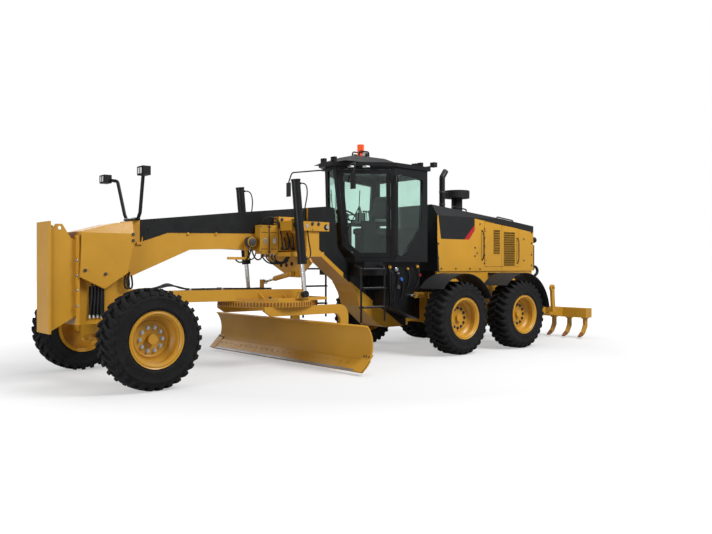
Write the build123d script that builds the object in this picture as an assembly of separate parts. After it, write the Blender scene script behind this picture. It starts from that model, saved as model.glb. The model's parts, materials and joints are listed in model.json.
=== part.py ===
"""Motor grader, four metre blade class, in millimetres.

+X is forward, +Y is the machine's left, +Z is up. The origin lies on the ground
under the middle of the machine. Every node is written to parts/NODE.step.
"""
import os
from math import atan2, cos, radians, sin, sqrt

from build123d import *

os.makedirs("parts", exist_ok=True)

# Driving sizes of the whole machine
front_x = 5442.5            # front face of the push plate
rear_x = -5442.5            # rear face of the ripper beam
front_axle_x = 4530.0
tandem_x = -2025.0          # middle between the two rear axles
tandem_spacing = 1680.0
track_y = 1230.0            # wheel centre planes
fit = 0.3                   # running gap at pins, faces and slides
shut_gap = 6.0              # gap round a door or a lid

# Wheels
tyre_radius = 640.0
tyre_width = 442.0
rim_radius = 330.0          # bead seat
flange_radius = 362.0
rim_wall = 18.0
rim_width = 400.0
disc_thickness = 24.0
case_inner = track_y - 470  # inner face of the tandem cases
case_outer = track_y - 280
lug_pairs = 20              # tread lugs on each half of a tyre
lug_depth = 26.0
hub_hole = 62.0

# Front beam, goose neck and nose
beam_half = 150.0
neck_half = 200.0
cheek_half = 250.0          # lower half of the goose neck
cover_thickness = 6.0
nose_half = 300.0
hitch_x = -1075.0
hitch_low = 455.0
hitch_high = 760.0
lug_thickness = 60.0
hitch_radius = 85.0
pin_radius = 42.0

# Push plate
plate_half = 240.0
plate_thickness = 28.0
plate_low = 680.0
plate_high = 2130.0
mount_x = 5085.0            # where the push plate is bolted on
mount_thickness = 25.0

# Front axle
lean_y = track_y - 380
king_y = track_y - 240
king_radius = 48.0
king_half = 105.0           # half the height of the steering post
tie_x = front_axle_x - 140.0
tie_z = 408.0
tie_ball = 50.0
tie_bar = 22.0
arm_low = tie_z + tie_ball + fit   # underside of the steering arms
arm_high = arm_low + 28

# Drawbar, circle and blade
ball_x = 4125.0
ball_z = 1110.0
ball_radius = 70.0
drawbar_low = 1020.0
drawbar_high = 1190.0
circle_x = 1945.0
circle_radius = 790.0
circle_inner = 680.0
circle_height = 95.0
arm_y = 640.0
arm_thickness = 60.0
tip_x = 1340.0
tip_z = 330.0
blade_half = 2100.0
edge_half = blade_half + 35
blade_edge_x = 1775.0
blade_edge_z = 60.0
blade_top_x = 1675.0
blade_top_z = 690.0
blade_radius = 420.0
blade_thickness = 25.0
rail_half = 1480.0
rail_size = 60.0
rail_low = 245.0
rail_high = 540.0

# Lift cylinders
lift_y = 800.0
eye_x = 1805.0
eye_z = 1120.0
trunnion_x = 1908.0
trunnion_z = 2180.0
lift_top = 700.0            # barrel above the trunnion
lift_bottom = 600.0         # barrel below the trunnion
lift_barrel_radius = 68.0
lift_rod_radius = 35.0
eye_radius = 50.0
eye_thickness = 74.0

# Centre shift cylinder, across the frame under the saddle
shift_top_y = 270.0
shift_top_z = 1430.0
shift_low_y = -490.0
shift_low_z = 1290.0
shift_x = 1675.0
link_x = 1590.0             # rear face of the link plate

# Cab
cab_front_low = 570.0       # windscreen foot
cab_front_high = 668.0      # windscreen head
cab_pillar_x = -150.0
cab_half = 750.0
cab_rear_x = -1005.0
cab_rear_half = 700.0
cab_floor = 1620.0
cab_sill = 1900.0
cab_head = 3250.0
cab_wall = 50.0
cab_toe_x = 400.0           # front end of the floor
cab_nose_half = 220.0       # half width at the windscreen foot
roof_peak = 3470.0
roof_front = 770.0
glass = 6.0

# Rear body
hood_front = -1350.0
hood_rear = -4255.0
hood_half = 620.0
hood_low = 1450.0
hood_front_z = 2690.0
hood_rear_z = 2375.0
hood_wall = 30.0
hood_top_half = 470.0
stack_x = -1765.0
stack_y = 350.0
cleaner_x = -2572.0
lid_front = -2690.0
lid_rear = -3760.0
lid_low = 1538.0
lid_high_front = 2414.0
lid_high_rear = 2310.0
sill_half = 600.0
bumper_half = 450.0
rail_y = 300.0
rail_width = 90.0
fender_gap = 130.0          # between tyre and guard

# Ripper
ripper_half = 1250.0
ripper_low = 450.0
ripper_high = 650.0
ripper_pin_x = -4480.0
ripper_pin_z = 640.0
ripper_arm_y = 620.0
ripper_eye_x = -5120.0
ripper_eye_z = 730.0
ripper_head_x = -4450.0
ripper_head_z = 1230.0
link_y = 810.0
shank_pitch = 385.0
shank_count = 7
shank_tip_z = 40.0


def block(x, y, z):
    """A box between the named limits, each a pair."""
    size = Box(x[1] - x[0], y[1] - y[0], z[1] - z[0])
    return Pos((x[0] + x[1]) / 2, (y[0] + y[1]) / 2, (z[0] + z[1]) / 2) * size


def side_plate(points, y):
    """A profile of (x, z) points, extruded between two y values."""
    wire = Polyline(*[(x, y[0], z) for x, z in points], close=True)
    return extrude(make_face(wire), amount=y[1] - y[0], dir=(0, 1, 0))


def cross_plate(points, x):
    """A profile of (y, z) points, extruded between two x values."""
    wire = Polyline(*[(x[0], y, z) for y, z in points], close=True)
    return extrude(make_face(wire), amount=x[1] - x[0], dir=(1, 0, 0))


def floor_plate(points, z):
    """A profile of (x, y) points, extruded between two heights."""
    wire = Polyline(*[(x, y, z[0]) for x, y in points], close=True)
    return extrude(make_face(wire), amount=z[1] - z[0], dir=(0, 0, 1))


def round_plate(points, radii, y):
    """A side profile with its corners rounded by the given radii."""
    wire = FilletPolyline(*[(x, y[0], z) for x, z in points], radius=radii, close=True)
    return extrude(make_face(wire), amount=y[1] - y[0], dir=(0, 1, 0))


def rod(start, end, radius):
    """A round bar from one point to another."""
    a = Vector(*start)
    b = Vector(*end)
    plane = Plane(origin=a, z_dir=(b - a))
    return plane * Cylinder(radius, (b - a).length, align=(Align.CENTER, Align.CENTER, Align.MIN))


def pipe(points, bends, radius):
    """A bent tube along a path with rounded corners."""
    path = FilletPolyline(*points, radius=bends)
    section = Plane(origin=path @ 0, z_dir=path % 0) * Circle(radius)
    return sweep(section, path=path)


def mirrored(shape):
    """The same piece on the right-hand side."""
    return mirror(shape, about=Plane.XZ)


def both(shape):
    """A piece and its twin on the other side."""
    return shape + mirrored(shape)


def turned(profile):
    """A profile of (radius, y) points, turned round the Y axis."""
    wire = Polyline(*[(r, y, 0) for r, y in profile], close=True)
    return revolve(make_face(wire), axis=Axis.Y, revolution_arc=360)


def save(name, shape):
    """Write one node."""
    export_step(shape, "parts/" + name + ".step")


def tyre():
    """A wide earthmover tyre, centred on the origin, out to the tips of its lugs."""
    half = tyre_width / 2
    bead = rim_width / 2 - 15
    crown = tyre_radius - lug_depth
    profile = [
        (rim_radius + fit, -bead), (flange_radius + 1, -bead - 6), (flange_radius + 6, -bead - 20),
        (470, -half),
        (560, -half + 10), (598, -half + 35), (crown, -half + 90),
        (crown, half - 90), (598, half - 35), (560, half - 10),
        (470, half), (flange_radius + 6, bead + 20), (flange_radius + 1, bead + 6),
        (rim_radius + fit, bead),
    ]
    body = turned(profile)
    lugs = []
    for i in range(2 * lug_pairs):
        side = 1 if i % 2 else -1
        lug = Box(lug_depth + 40, half - 50, 46)
        lug = Pos(tyre_radius - lug_depth / 2 - 21, side * (half - 50) / 2, 0) * Rot(side * 24, 0, 0) * lug
        lugs.append(Rot(0, 180 / lug_pairs * i, 0) * lug)
    return body + lugs


def rim():
    """A deep rim with its disc on the wheel's centre plane."""
    half = rim_width / 2
    inside = rim_radius - rim_wall
    profile = [
        (hub_hole, 0), (hub_hole, disc_thickness), (inside, disc_thickness),
        (inside, half - 20), (flange_radius - rim_wall, half), (flange_radius, half + 12),
        (flange_radius, half - 8), (rim_radius, half - 14), (rim_radius, -half + 14),
        (flange_radius, -half + 8), (flange_radius, -half - 12), (flange_radius - rim_wall, -half),
        (inside, -half + 20), (inside, 0),
    ]
    return turned(profile)


def wheel_place(x, side):
    """Where a wheel goes, with its outer face away from the machine."""
    place = Pos(x, side * track_y, tyre_radius)
    return place if side > 0 else place * Rot(0, 0, 180)


def wheels():
    """Tyre and rim of each wheel, front pair first."""
    axles = [
        ("front", front_axle_x),
        ("middle", tandem_x + tandem_spacing / 2),
        ("rear", tandem_x - tandem_spacing / 2),
    ]
    one_tyre = tyre()
    one_rim = rim()
    for axle, x in axles:
        for side, word in ((1, "left"), (-1, "right")):
            save(f"tyre_{axle}_{word}", wheel_place(x, side) * one_tyre)
            save(f"rim_{axle}_{word}", wheel_place(x, side) * one_rim)


# Side outline of the front frame, as x and z of each corner, from the nose round to it
beam_outline = [
    (4340, 1398), (3405, 1792), (2745, 1814), (1500, 1775), (1090, 1758), (395, 1240), (302, 1090),
    (213, 855), (-218, 512), (-427, hitch_low), (-900, hitch_low), (-900, hitch_high), (-322, 844),
    (30, 1042), (180, 1330), (300, 1600), (480, 1610), (500, 1655), (668, 1865), (712, 2300),
    (735, 2530), (884, 2545), (2558, 2373), (4340, 2175),
]
neck_outline = [
    (1290, 1766), (1090, 1758), (395, 1240), (302, 1090), (213, 855), (-218, 512), (-427, hitch_low),
    (-900, hitch_low), (-900, hitch_high), (-322, 844), (30, 1042), (180, 1330), (300, 1600),
    (480, 1610), (500, 1655), (668, 1865), (712, 2300), (735, 2530), (884, 2545), (1290, 2503),
]
cheek_outline = [
    (420, 1259), (395, 1240), (302, 1090), (213, 855), (-218, 512), (-427, hitch_low), (-900, hitch_low),
    (-900, hitch_high), (-322, 844), (30, 1042), (180, 1330), (204, 1385), (420, 1385),
]


def main_frame():
    """Box beam, goose neck, nose bolster and the front half of the hitch."""
    beam = side_plate(beam_outline, (-beam_half, beam_half))
    neck = side_plate(neck_outline, (-neck_half, neck_half))
    neck += side_plate(cheek_outline, (-cheek_half, cheek_half))
    nose = side_plate(
        [(5043, 1854), (mount_x - mount_thickness, 1407), (4737, 1250), (4415, 1460), (4341, 1859),
         (4329, 2165), (4600, 2130), (5043, 2010)],
        (-nose_half, nose_half))
    shoulder = cross_plate(
        [(nose_half + 10, 1200), (nose_half, 1200), (nose_half, 1995), (nose_half - 90, 2300),
         (nose_half + 10, 2300)], (4300, 5100))
    nose -= both(shoulder)
    bolster = side_plate(
        [(mount_x - mount_thickness, 1420), (mount_x - mount_thickness, 780), (4700, 780),
         (4640, 830 + fit), (4420, 830 + fit), (4345, 1000), (4345, 1420)], (-190, 190))
    socket = block((ball_x, ball_x + 275), (-115, 115), (ball_z - 115, ball_z + 115))
    socket -= Pos(ball_x, 0, ball_z) * Sphere(ball_radius + fit)
    frame = beam + neck + nose + bolster + socket
    for z in (hitch_low, hitch_high - lug_thickness):
        lug = block((hitch_x, -880), (-hitch_radius, hitch_radius), (z, z + lug_thickness))
        lug += rod((hitch_x, 0, z), (hitch_x, 0, z + lug_thickness), hitch_radius)
        frame += lug
    frame += rod((hitch_x, 0, hitch_low), (hitch_x, 0, hitch_high), pin_radius)
    save("main_frame", frame)


def beam_cover():
    """Black sheet cover over the beam and the upper goose neck."""
    rise = cover_thickness + fit
    front = side_plate(
        [(4175, 2193.3 + rise), (4175, 1890), (3759, 2029), (2465, 2057), (1696, 2057), (1696, 1852),
         (1290, 1840), (1290, 2503 + rise), (2558, 2373 + rise)], (-beam_half - rise, beam_half + rise))
    rear = side_plate(
        [(1290, 2503 + rise), (1290, 1840), (1062, 1828), (430, 1357), (430, 1606), (480, 1610),
         (500, 1655), (668, 1865), (712, 2300), (735, 2530), (884, 2545 + rise)],
        (-neck_half - rise, neck_half + rise))
    inside = side_plate(
        [(4400, 1000), (430, 1000), (430, 1606), (480, 1610), (500, 1655), (668, 1865), (712, 2300),
         (735, 2530 + fit), (884, 2545 + fit), (2558, 2373 + fit), (4400, 2168.3 + fit)],
        (-beam_half - fit, beam_half + fit))
    neck = side_plate(
        [(1290 + fit, 1000), (430, 1000), (430, 1606), (480, 1610), (500, 1655), (668, 1865),
         (712, 2300), (735, 2530 + fit), (884, 2545 + fit), (1290 + fit, 2503 + fit)],
        (-neck_half - fit, neck_half + fit))
    save("beam_cover", front + rear - inside - neck)


def push_plate():
    """Front plate on two gussets, bolted to the nose."""
    front = block((front_x - plate_thickness, front_x), (-plate_half, plate_half), (plate_low, plate_high))
    back = front_x - plate_thickness
    eye_x = front_x - 152.5
    eye_z = plate_high - 80
    gusset = side_plate(
        [(back, plate_low + 30), (mount_x, plate_low + 220), (mount_x, plate_high - 230),
         (mount_x + 65, plate_high - 210), (mount_x + 175, plate_high - 30), (back - 75, plate_high - 30),
         (back, plate_high - 130)], (plate_half - 60, plate_half - 35))
    mount = block((mount_x - mount_thickness + fit, mount_x), (-plate_half - 30, plate_half + 30),
                  (plate_low + 100, plate_high - 170))
    mount -= block((mount_x - 100, mount_x + 10), (-130, 130), (plate_low + 220, plate_high - 280))
    ledge = block((mount_x + 115, back), (-plate_half + 35, plate_half - 35),
                  (plate_low + 320, plate_low + 350))
    plate = front + both(gusset) + mount + ledge
    plate -= rod((eye_x, -300, eye_z), (eye_x, 300, eye_z), 25)
    save("push_plate", plate)


def front_axle():
    """Arched beam with a yoke at each end."""
    half = lean_y - 75
    beam = cross_plate(
        [(-half, 560), (-half, 720), (-420, 760), (-190, 830), (190, 830), (420, 760), (half, 720),
         (half, 560), (450, 590), (200, 640), (-200, 640), (-450, 590)],
        (front_axle_x - 90, front_axle_x + 90))
    for x in (front_axle_x - 90, front_axle_x + 60):
        ear = block((x, x + 30), (half - 5, lean_y), (590, 690))
        ear += rod((x, lean_y, tyre_radius), (x + 30, lean_y, tyre_radius), 50)
        beam += both(ear)
    pin = rod((front_axle_x - 90, lean_y, tyre_radius), (front_axle_x + 90, lean_y, tyre_radius), 22)
    beam += both(pin)
    save("front_axle", beam)


def tie_rod():
    """Track rod behind the axle, a ball joint under each steering arm, and the left joint's nut."""
    bar = rod((tie_x, -king_y, tie_z), (tie_x, king_y, tie_z), tie_bar)
    ball = Pos(tie_x, king_y, tie_z) * Sphere(tie_ball)
    far_ball = mirrored(ball) - block((tie_x - 60, tie_x + 60), (-king_y - 60, -king_y + 60),
                                      (tie_z + tie_ball - 11, tie_z + tie_ball + 10))
    save("tie_rod", bar + ball + far_ball)
    save("tie_stud", rod((tie_x, king_y, arm_high + fit), (tie_x, king_y, arm_high + 22), 22))


def lean_and_knuckle():
    """Leaning carrier at each end of the axle, and the steering knuckle it holds."""
    carrier = block((front_axle_x - 59.7, front_axle_x + 59.7), (lean_y - 45, lean_y + 70), (560, 720))
    for low in (tyre_radius - king_half - 45, tyre_radius + king_half):
        jaw = block((front_axle_x - 55, front_axle_x + 55), (lean_y + 40, king_y), (low, low + 45))
        jaw += rod((front_axle_x, king_y, low), (front_axle_x, king_y, low + 45), 55)
        carrier += jaw
    carrier += block((front_axle_x - 55, front_axle_x + 55), (lean_y + 20, lean_y + 70),
                     (tyre_radius - king_half - 45, tyre_radius + king_half + 45))
    carrier -= rod((front_axle_x - 90, lean_y, tyre_radius), (front_axle_x + 90, lean_y, tyre_radius),
                   22 + fit)
    carrier -= rod((front_axle_x, king_y, 400), (front_axle_x, king_y, 900), 20 + fit)
    save("lean_carrier_left", carrier)
    save("lean_carrier_right", mirrored(carrier))
    post = rod((front_axle_x, king_y, tyre_radius - king_half + fit),
               (front_axle_x, king_y, tyre_radius + king_half - fit), king_radius)
    post += rod((front_axle_x, king_y, arm_low),
                (front_axle_x, king_y, tyre_radius + king_half + 45), 20)
    post += rod((front_axle_x, king_y, tyre_radius), (front_axle_x, track_y - fit, tyre_radius), 90)
    post += rod((front_axle_x, track_y - 30, tyre_radius), (front_axle_x, track_y + 90, tyre_radius),
                hub_hole - fit)
    arm = floor_plate(
        [(front_axle_x, king_y + 38), (front_axle_x, king_y - 38), (tie_x, king_y - 30),
         (tie_x, king_y + 30)], (arm_low, arm_high))
    arm += rod((front_axle_x, king_y, arm_low), (front_axle_x, king_y, arm_high), 48)
    arm += rod((tie_x, king_y, arm_low), (tie_x, king_y, arm_high), 30)
    post += arm
    save("knuckle_left", post)
    save("knuckle_right", mirrored(post))


def front_lamps():
    """Two bent tubes on the nose, a lamp on each."""
    stalk = pipe([(4225, 180, 2200), (4225, 260, 2290), (4258, 430, 2780), (4300, 560, 2800)],
                 [40, 60], 24)
    lamp = block((4290, 4400), (560, 740), (2760, 2880))
    base = block((4190, 4270), (-190, 190), (2192, 2216))
    save("front_lamps", both(stalk + lamp) + base)


def lift_saddle():
    """Saddle on the beam with the trunnion arms, the link plate and the valve boxes."""
    out = beam_half + cover_thickness + 2 * fit
    cheek_y = lift_y - lift_barrel_radius - 60
    collar = block((1700, 1950), (beam_half, beam_half + 60), (1700, 2045))
    wall = block((1590, 1936), (out, beam_half + 150), (1790, 2330))
    arm = block((1225, 1960), (beam_half + 290, cheek_y + 5), (2105, 2250))
    brace = block((1700, 1936), (out, beam_half + 320), (2105, 2250))
    cheek = block((trunnion_x - 70, trunnion_x + 70), (cheek_y, cheek_y + 30),
                  (trunnion_z - 90, trunnion_z + 90))
    saddle = both(collar + wall + arm + brace + cheek)
    base = block((1300, 1950), (beam_half, 640), (1700, 1770))
    post = block((1400, 1650), (beam_half + 290, 640), (1765, 2110))
    link = cross_plate(
        [(-531, 1740), (-400, 1600), (-125, 1484), (141, 1374), (398, 1367), (729, 1606), (640, 1705),
         (600, 1740)], (link_x, link_x + 35))
    for y, z in ((-89, 1567), (60, 1567), (211, 1587), (399, 1623)):
        link -= rod((link_x - 5, y, z), (link_x + 40, y, z), 24)
    link -= rod((link_x - 5, shift_top_y, shift_top_z), (link_x + 40, shift_top_y, shift_top_z), 18 + fit)
    link += block((link_x, 1760), (-210, -150), (1700, 1740))
    boxes = block((1956, 2118), (out, 300), (1740, 2188)) + block((2126, 2288), (out, 300), (1740, 2188))
    boxes += block((1940, 2300), (out, 200), (1800, 1880))
    boxes += rod((2430, out, 1921), (2430, 300, 1921), 75) + block((2280, 2440), (out, 190), (1860, 1900))
    boxes += block((2420, 2790), (out, 200), (1650, 1690)) + block((2440, 2480), (out, 190), (1650, 1900))
    link += base + post + boxes
    save("lift_saddle", saddle + link)


def lift_cylinders():
    """Barrel on its trunnion and rod down to the drawbar, on each side."""
    run = Vector(trunnion_x - eye_x, 0, trunnion_z - eye_z)
    up = run.normalized()
    centre = Vector(trunnion_x, lift_y, trunnion_z)
    top = centre + up * lift_top
    bottom = centre - up * lift_bottom
    eye = Vector(eye_x, lift_y, eye_z)
    barrel = rod(bottom, top, lift_barrel_radius)
    barrel += rod((trunnion_x, lift_y - lift_barrel_radius - 30 + fit, trunnion_z),
                  (trunnion_x, lift_y, trunnion_z), 45)
    barrel -= rod(bottom - up * 5, top - up * 60, lift_rod_radius + fit)
    save("lift_barrel_left", barrel)
    save("lift_barrel_right", mirrored(barrel))
    shaft = rod(eye, centre + up * 180, lift_rod_radius)
    shaft += rod((eye_x, lift_y - eye_thickness / 2, eye_z), (eye_x, lift_y + eye_thickness / 2, eye_z),
                 eye_radius)
    save("lift_rod_left", shaft)
    save("lift_rod_right", mirrored(shaft))


def centre_shift():
    """Cylinder from the saddle's link to the far side of the drawbar."""
    a = Vector(shift_x, shift_top_y, shift_top_z)
    b = Vector(shift_x, shift_low_y, shift_low_z)
    along = (b - a).normalized()
    barrel = rod(a + along * 45, a + along * 480, 42)
    barrel += rod(a, a + along * 60, 30)
    barrel += rod((shift_x - 35, shift_top_y, shift_top_z), (shift_x + 35, shift_top_y, shift_top_z), 36)
    barrel += rod((link_x, shift_top_y, shift_top_z), (shift_x + 35, shift_top_y, shift_top_z), 18)
    barrel -= rod(a + along * 80, a + along * 490, 24 + fit)
    save("shift_barrel", barrel)
    shaft = rod(a + along * 260, b, 24)
    shaft += rod((shift_x - 30, shift_low_y, shift_low_z), (shift_x + 30, shift_low_y, shift_low_z), 40)
    save("shift_rod", shaft)


def drawbar():
    """Tongue, spreader and circle table, with the ball at its front."""
    tongue = floor_plate(
        [(ball_x - 80, -70), (ball_x - 80, 70), (3700, 120), (2700, 250), (1690, 640), (1690, 480),
         (2600, 120), (2600, -120), (1690, -480), (1690, -640), (2700, -250), (3700, -120)],
        (drawbar_low, drawbar_high))
    table = floor_plate(
        [(2700, 240), (2250, 735), (1650, 735), (1300, 700), (1240, 640), (1240, -640), (1300, -700),
         (1650, -735), (2250, -735), (2700, -240)], (drawbar_low, drawbar_low + 40))
    table -= floor_plate(
        [(2500, 120), (1800, 440), (1690, 600), (1360, 600), (1360, -600), (1690, -600), (1800, -440),
         (2500, -120)], (drawbar_low - 5, drawbar_low + 50))
    ear = side_plate([(1930, drawbar_low + 30), (1880, 1130), (1850, 1150), (1760, 1150), (1730, 1130),
                      (1680, drawbar_low + 30)], (700, lift_y - eye_thickness / 2 - fit))
    lug = block((shift_x + 46, shift_x + 76), (-540, -450), (drawbar_high - 20, shift_low_z + 35))
    bar = tongue + table + both(ear) + lug
    bar += Pos(ball_x, 0, ball_z) * Sphere(ball_radius)
    bar += rod((ball_x, 0, ball_z), (ball_x - 120, 0, ball_z), 45)
    save("drawbar", bar)


def circle():
    """Turntable ring with the two blade arms under it."""
    top = drawbar_low - fit
    low = top - circle_height
    ring = Pos(circle_x, 0, (top + low) / 2) * (
        Cylinder(circle_radius, circle_height) - Cylinder(circle_inner, circle_height + 10))
    arm = round_plate(
        [(2470, low + 10), (845, low + 10), (845, 420), (1000, 250), (1430, 250), (1430, 400),
         (1120, 400), (1010, 520), (1010, 790), (2345, 790), (2470, 870)],
        [5, 190, 60, 60, 60, 60, 60, 60, 110, 20, 20], (arm_y, arm_y + arm_thickness))
    arm -= rod((tip_x, 500, tip_z), (tip_x, 800, tip_z), 35 + fit)
    save("circle", ring + both(arm))


def blade_carrier():
    """Tilting frame between the arms, whose shoes hold the blade's rails."""
    side = round_plate(
        [(1290, 270), (1480, 200), (1480, 600), (1400, 600), (1290, 400)], [30, 10, 10, 30, 40],
        (arm_y - 60, arm_y - 1))
    side += rod((tip_x, arm_y - 60, tip_z), (tip_x, arm_y + arm_thickness, tip_z), 35)
    tube = rod((1390, -arm_y + 10, 400), (1390, arm_y - 10, 400), 55)
    tube += block((1390, 1440), (-300, 300), (345, 455))
    save("blade_carrier", both(side) + tube)


def blade_curve():
    """Centre of the blade's front curve, found from its edge, top and radius."""
    dx = blade_top_x - blade_edge_x
    dz = blade_top_z - blade_edge_z
    chord = sqrt(dx * dx + dz * dz)
    away = sqrt(blade_radius ** 2 - chord * chord / 4)
    return (blade_edge_x + blade_top_x) / 2 + away * dz / chord, \
        (blade_edge_z + blade_top_z) / 2 - away * dx / chord


def blade():
    """Curved mouldboard with two rails on its back, and its cutting edge."""
    cx, cz = blade_curve()

    def on_curve(radius, angle):
        """A point of the curve at the blade's left end."""
        return (cx + radius * cos(angle), -blade_half, cz + radius * sin(angle))

    low = atan2(blade_edge_z - cz, blade_edge_x - cx)
    high = atan2(blade_top_z - cz, blade_top_x - cx)
    high = high if high > 0 else high + radians(360)
    low = low if low > 0 else low + radians(360)
    middle = (low + high) / 2
    inner = ThreePointArc(on_curve(blade_radius, low), on_curve(blade_radius, middle),
                          on_curve(blade_radius, high))
    outer_radius = blade_radius + blade_thickness
    outer = ThreePointArc(on_curve(outer_radius, high), on_curve(outer_radius, middle),
                          on_curve(outer_radius, low))
    loop = inner + Line(inner @ 1, outer @ 0) + outer + Line(outer @ 1, inner @ 0)
    board = extrude(make_face(loop), amount=2 * blade_half, dir=(0, 1, 0))
    rails = block((1480 + fit, 1590), (-rail_half, rail_half), (rail_low, rail_low + rail_size))
    rails += block((1480 + fit, 1590), (-rail_half, rail_half), (rail_high, rail_high + rail_size))
    edge = side_plate(
        [(blade_edge_x - 8, blade_edge_z), (blade_edge_x + 24, blade_edge_z), (1652, 214),
         (1625, 205), (1682, 130)], (-edge_half, edge_half))
    lip = block((blade_top_x - 20, blade_top_x + 12), (-blade_half, blade_half),
                (blade_top_z - 12, blade_top_z))
    mould = board + rails + edge + lip
    save("blade", mould)


def cab_solid(margin):
    """The cab's outer form, or its room when a margin is taken off."""
    slope = (cab_half - cab_nose_half) / (cab_front_low - cab_pillar_x)
    point_x = cab_pillar_x + cab_half / slope
    plan = floor_plate(
        [(cab_rear_x + margin, -cab_rear_half + margin), (cab_pillar_x, -cab_half + margin),
         (point_x - 1.6 * margin, 0), (cab_pillar_x, cab_half - margin),
         (cab_rear_x + margin, cab_rear_half - margin)], (cab_floor + margin, cab_head - margin / 2))
    profile = side_plate(
        [(cab_rear_x + margin, cab_floor + margin), (cab_toe_x - margin, cab_floor + margin),
         (cab_toe_x - margin, cab_floor + 80), (cab_front_low - margin, cab_sill),
         (cab_front_high - margin, cab_head), (cab_rear_x + margin, cab_head)], (-900, 900))
    return plan & profile


door_angle = atan2(cab_half - cab_nose_half, cab_front_low - cab_pillar_x)
door_length = sqrt((cab_half - cab_nose_half) ** 2 + (cab_front_low - cab_pillar_x) ** 2)
door_rear = 70.0            # along the side, from the pillar's corner
door_front = door_length - 40.0
door_low = 1700.0
door_high = 3200.0
door_toe = 230.0            # how far the lower front corner is cut back
hinge_s = door_rear - shut_gap / 2
hinge_out = 12.0            # hinge pins stand this far outside the panel
door_plane = Plane(origin=(cab_pillar_x, cab_half, 0), x_dir=(cos(door_angle), -sin(door_angle), 0),
                   z_dir=(0, 0, 1))


def door_panel(grow, depth):
    """The door's outline on the slanted side, grown or shrunk, between two depths."""
    lean = (cab_front_high - cab_front_low) / (cab_head - cab_sill) / cos(door_angle)
    front_top = door_front + lean * (door_high - cab_sill)
    points = [
        (door_rear, door_low), (door_front - door_toe, door_low), (door_front, cab_sill),
        (front_top, door_high), (door_rear, door_high),
    ]
    face = make_face(Polyline(*[(s, z) for s, z in points], close=True))
    if grow:
        face = offset(face, amount=grow, kind=Kind.INTERSECTION)
    flat = Pos(0, depth[1], 0) * (Rot(90, 0, 0) * extrude(face, amount=depth[1] - depth[0]))
    return door_plane * flat


def cab():
    """Cab shell with its windows and door openings, roof, panes and doors."""
    shell = cab_solid(0) - cab_solid(cab_wall)
    opening = door_panel(shut_gap, (-200, 200))
    shell -= both(opening)
    screen = cross_plate([(-165, cab_sill + 60), (165, cab_sill + 60), (75, cab_head - 60),
                          (-75, cab_head - 60)],
                         (400, 1000))
    shell -= screen
    back = block((cab_rear_x - 50, cab_rear_x + 200), (-560, 560), (2250, 3120))
    shell -= back
    side_window = side_plate([(-236, 3134), (-885, 3068), (-830, 2245), (-395, 1730), (-236, 1730)],
                             (cab_rear_half - 120, cab_half + 50))
    shell -= both(side_window)
    save("cab_shell", shell)

    middle = cab_wall / 2
    skin = cab_solid(middle - glass / 2) - cab_solid(middle + glass / 2)
    panes = (skin & screen) + (skin & back) + (skin & both(side_window))
    save("cab_glass", panes)

    door = door_panel(0, (-45, 0)) - door_panel(-75, (-60, 20))
    pane = door_panel(-75 - fit, (-25, -25 + glass))
    for z in (door_low + 250, door_high - 150):
        knuckle = rod((hinge_s, hinge_out, z), (hinge_s, hinge_out, z + 90), hinge_out - fit)
        knuckle += block((hinge_s, hinge_s + 60), (-2, 8), (z, z + 90))
        door += door_plane * knuckle
    save("door_left", door)
    save("door_right", mirrored(door))
    save("door_glass_left", pane)
    save("door_glass_right", mirrored(pane))

    roof = floor_plate(
        [(cab_rear_x - 60, -cab_rear_half - 20), (cab_pillar_x, -cab_half - 40), (roof_front - 110, -270),
         (roof_front, -190), (roof_front, 190), (roof_front - 110, 270), (cab_pillar_x, cab_half + 40),
         (cab_rear_x - 60, cab_rear_half + 20)],
        (cab_head, cab_head + 70))
    cap = loft([
        Pos(-60, 0, cab_head + 70) * Rectangle(1500, 900),
        Pos(-60, 0, roof_peak) * Rectangle(700, 420),
    ])
    lamps = None
    for x, y in ((-960, 420), (-960, 560), (roof_front - 70, 140)):
        lamp = block((x - 30, x + 30), (y - 50, y + 50), (cab_head + 70 - 5, cab_head + 160))
        lamps = lamp if lamps is None else lamps + lamp
    hoop = pipe([(-140, 90, roof_peak - 10), (-140, 90, roof_peak + 110), (90, 90, roof_peak + 110),
                 (90, 90, roof_peak - 10)], [40, 40], 12)
    save("cab_roof", roof + cap + both(lamps) + both(hoop))
    beacon = rod((-25, 0, roof_peak + fit), (-25, 0, 3520), 40) + rod((-25, 0, 3520), (-25, 0, 3705), 62)
    save("beacon", beacon)


def cab_inside():
    """Seat, its base and the two control consoles."""
    floor = cab_floor + cab_wall + fit
    cushion = block((-520, 0), (-260, 260), (2110, 2230))
    back = side_plate([(-520, 2230), (-400, 2230), (-520, 2850), (-640, 2850)], (-240, 240))
    save("seat", cushion + back)
    base = block((-460, -60), (-200, 200), (floor, 2110 - fit))
    console = block((-60, 220), (290, 365), (floor, 2330))
    dash = side_plate([(290, floor), (335, floor), (392, 1800), (492, 2300), (380, 2300)], (-110, 110))
    save("cab_controls", both(console) + dash + base)


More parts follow.
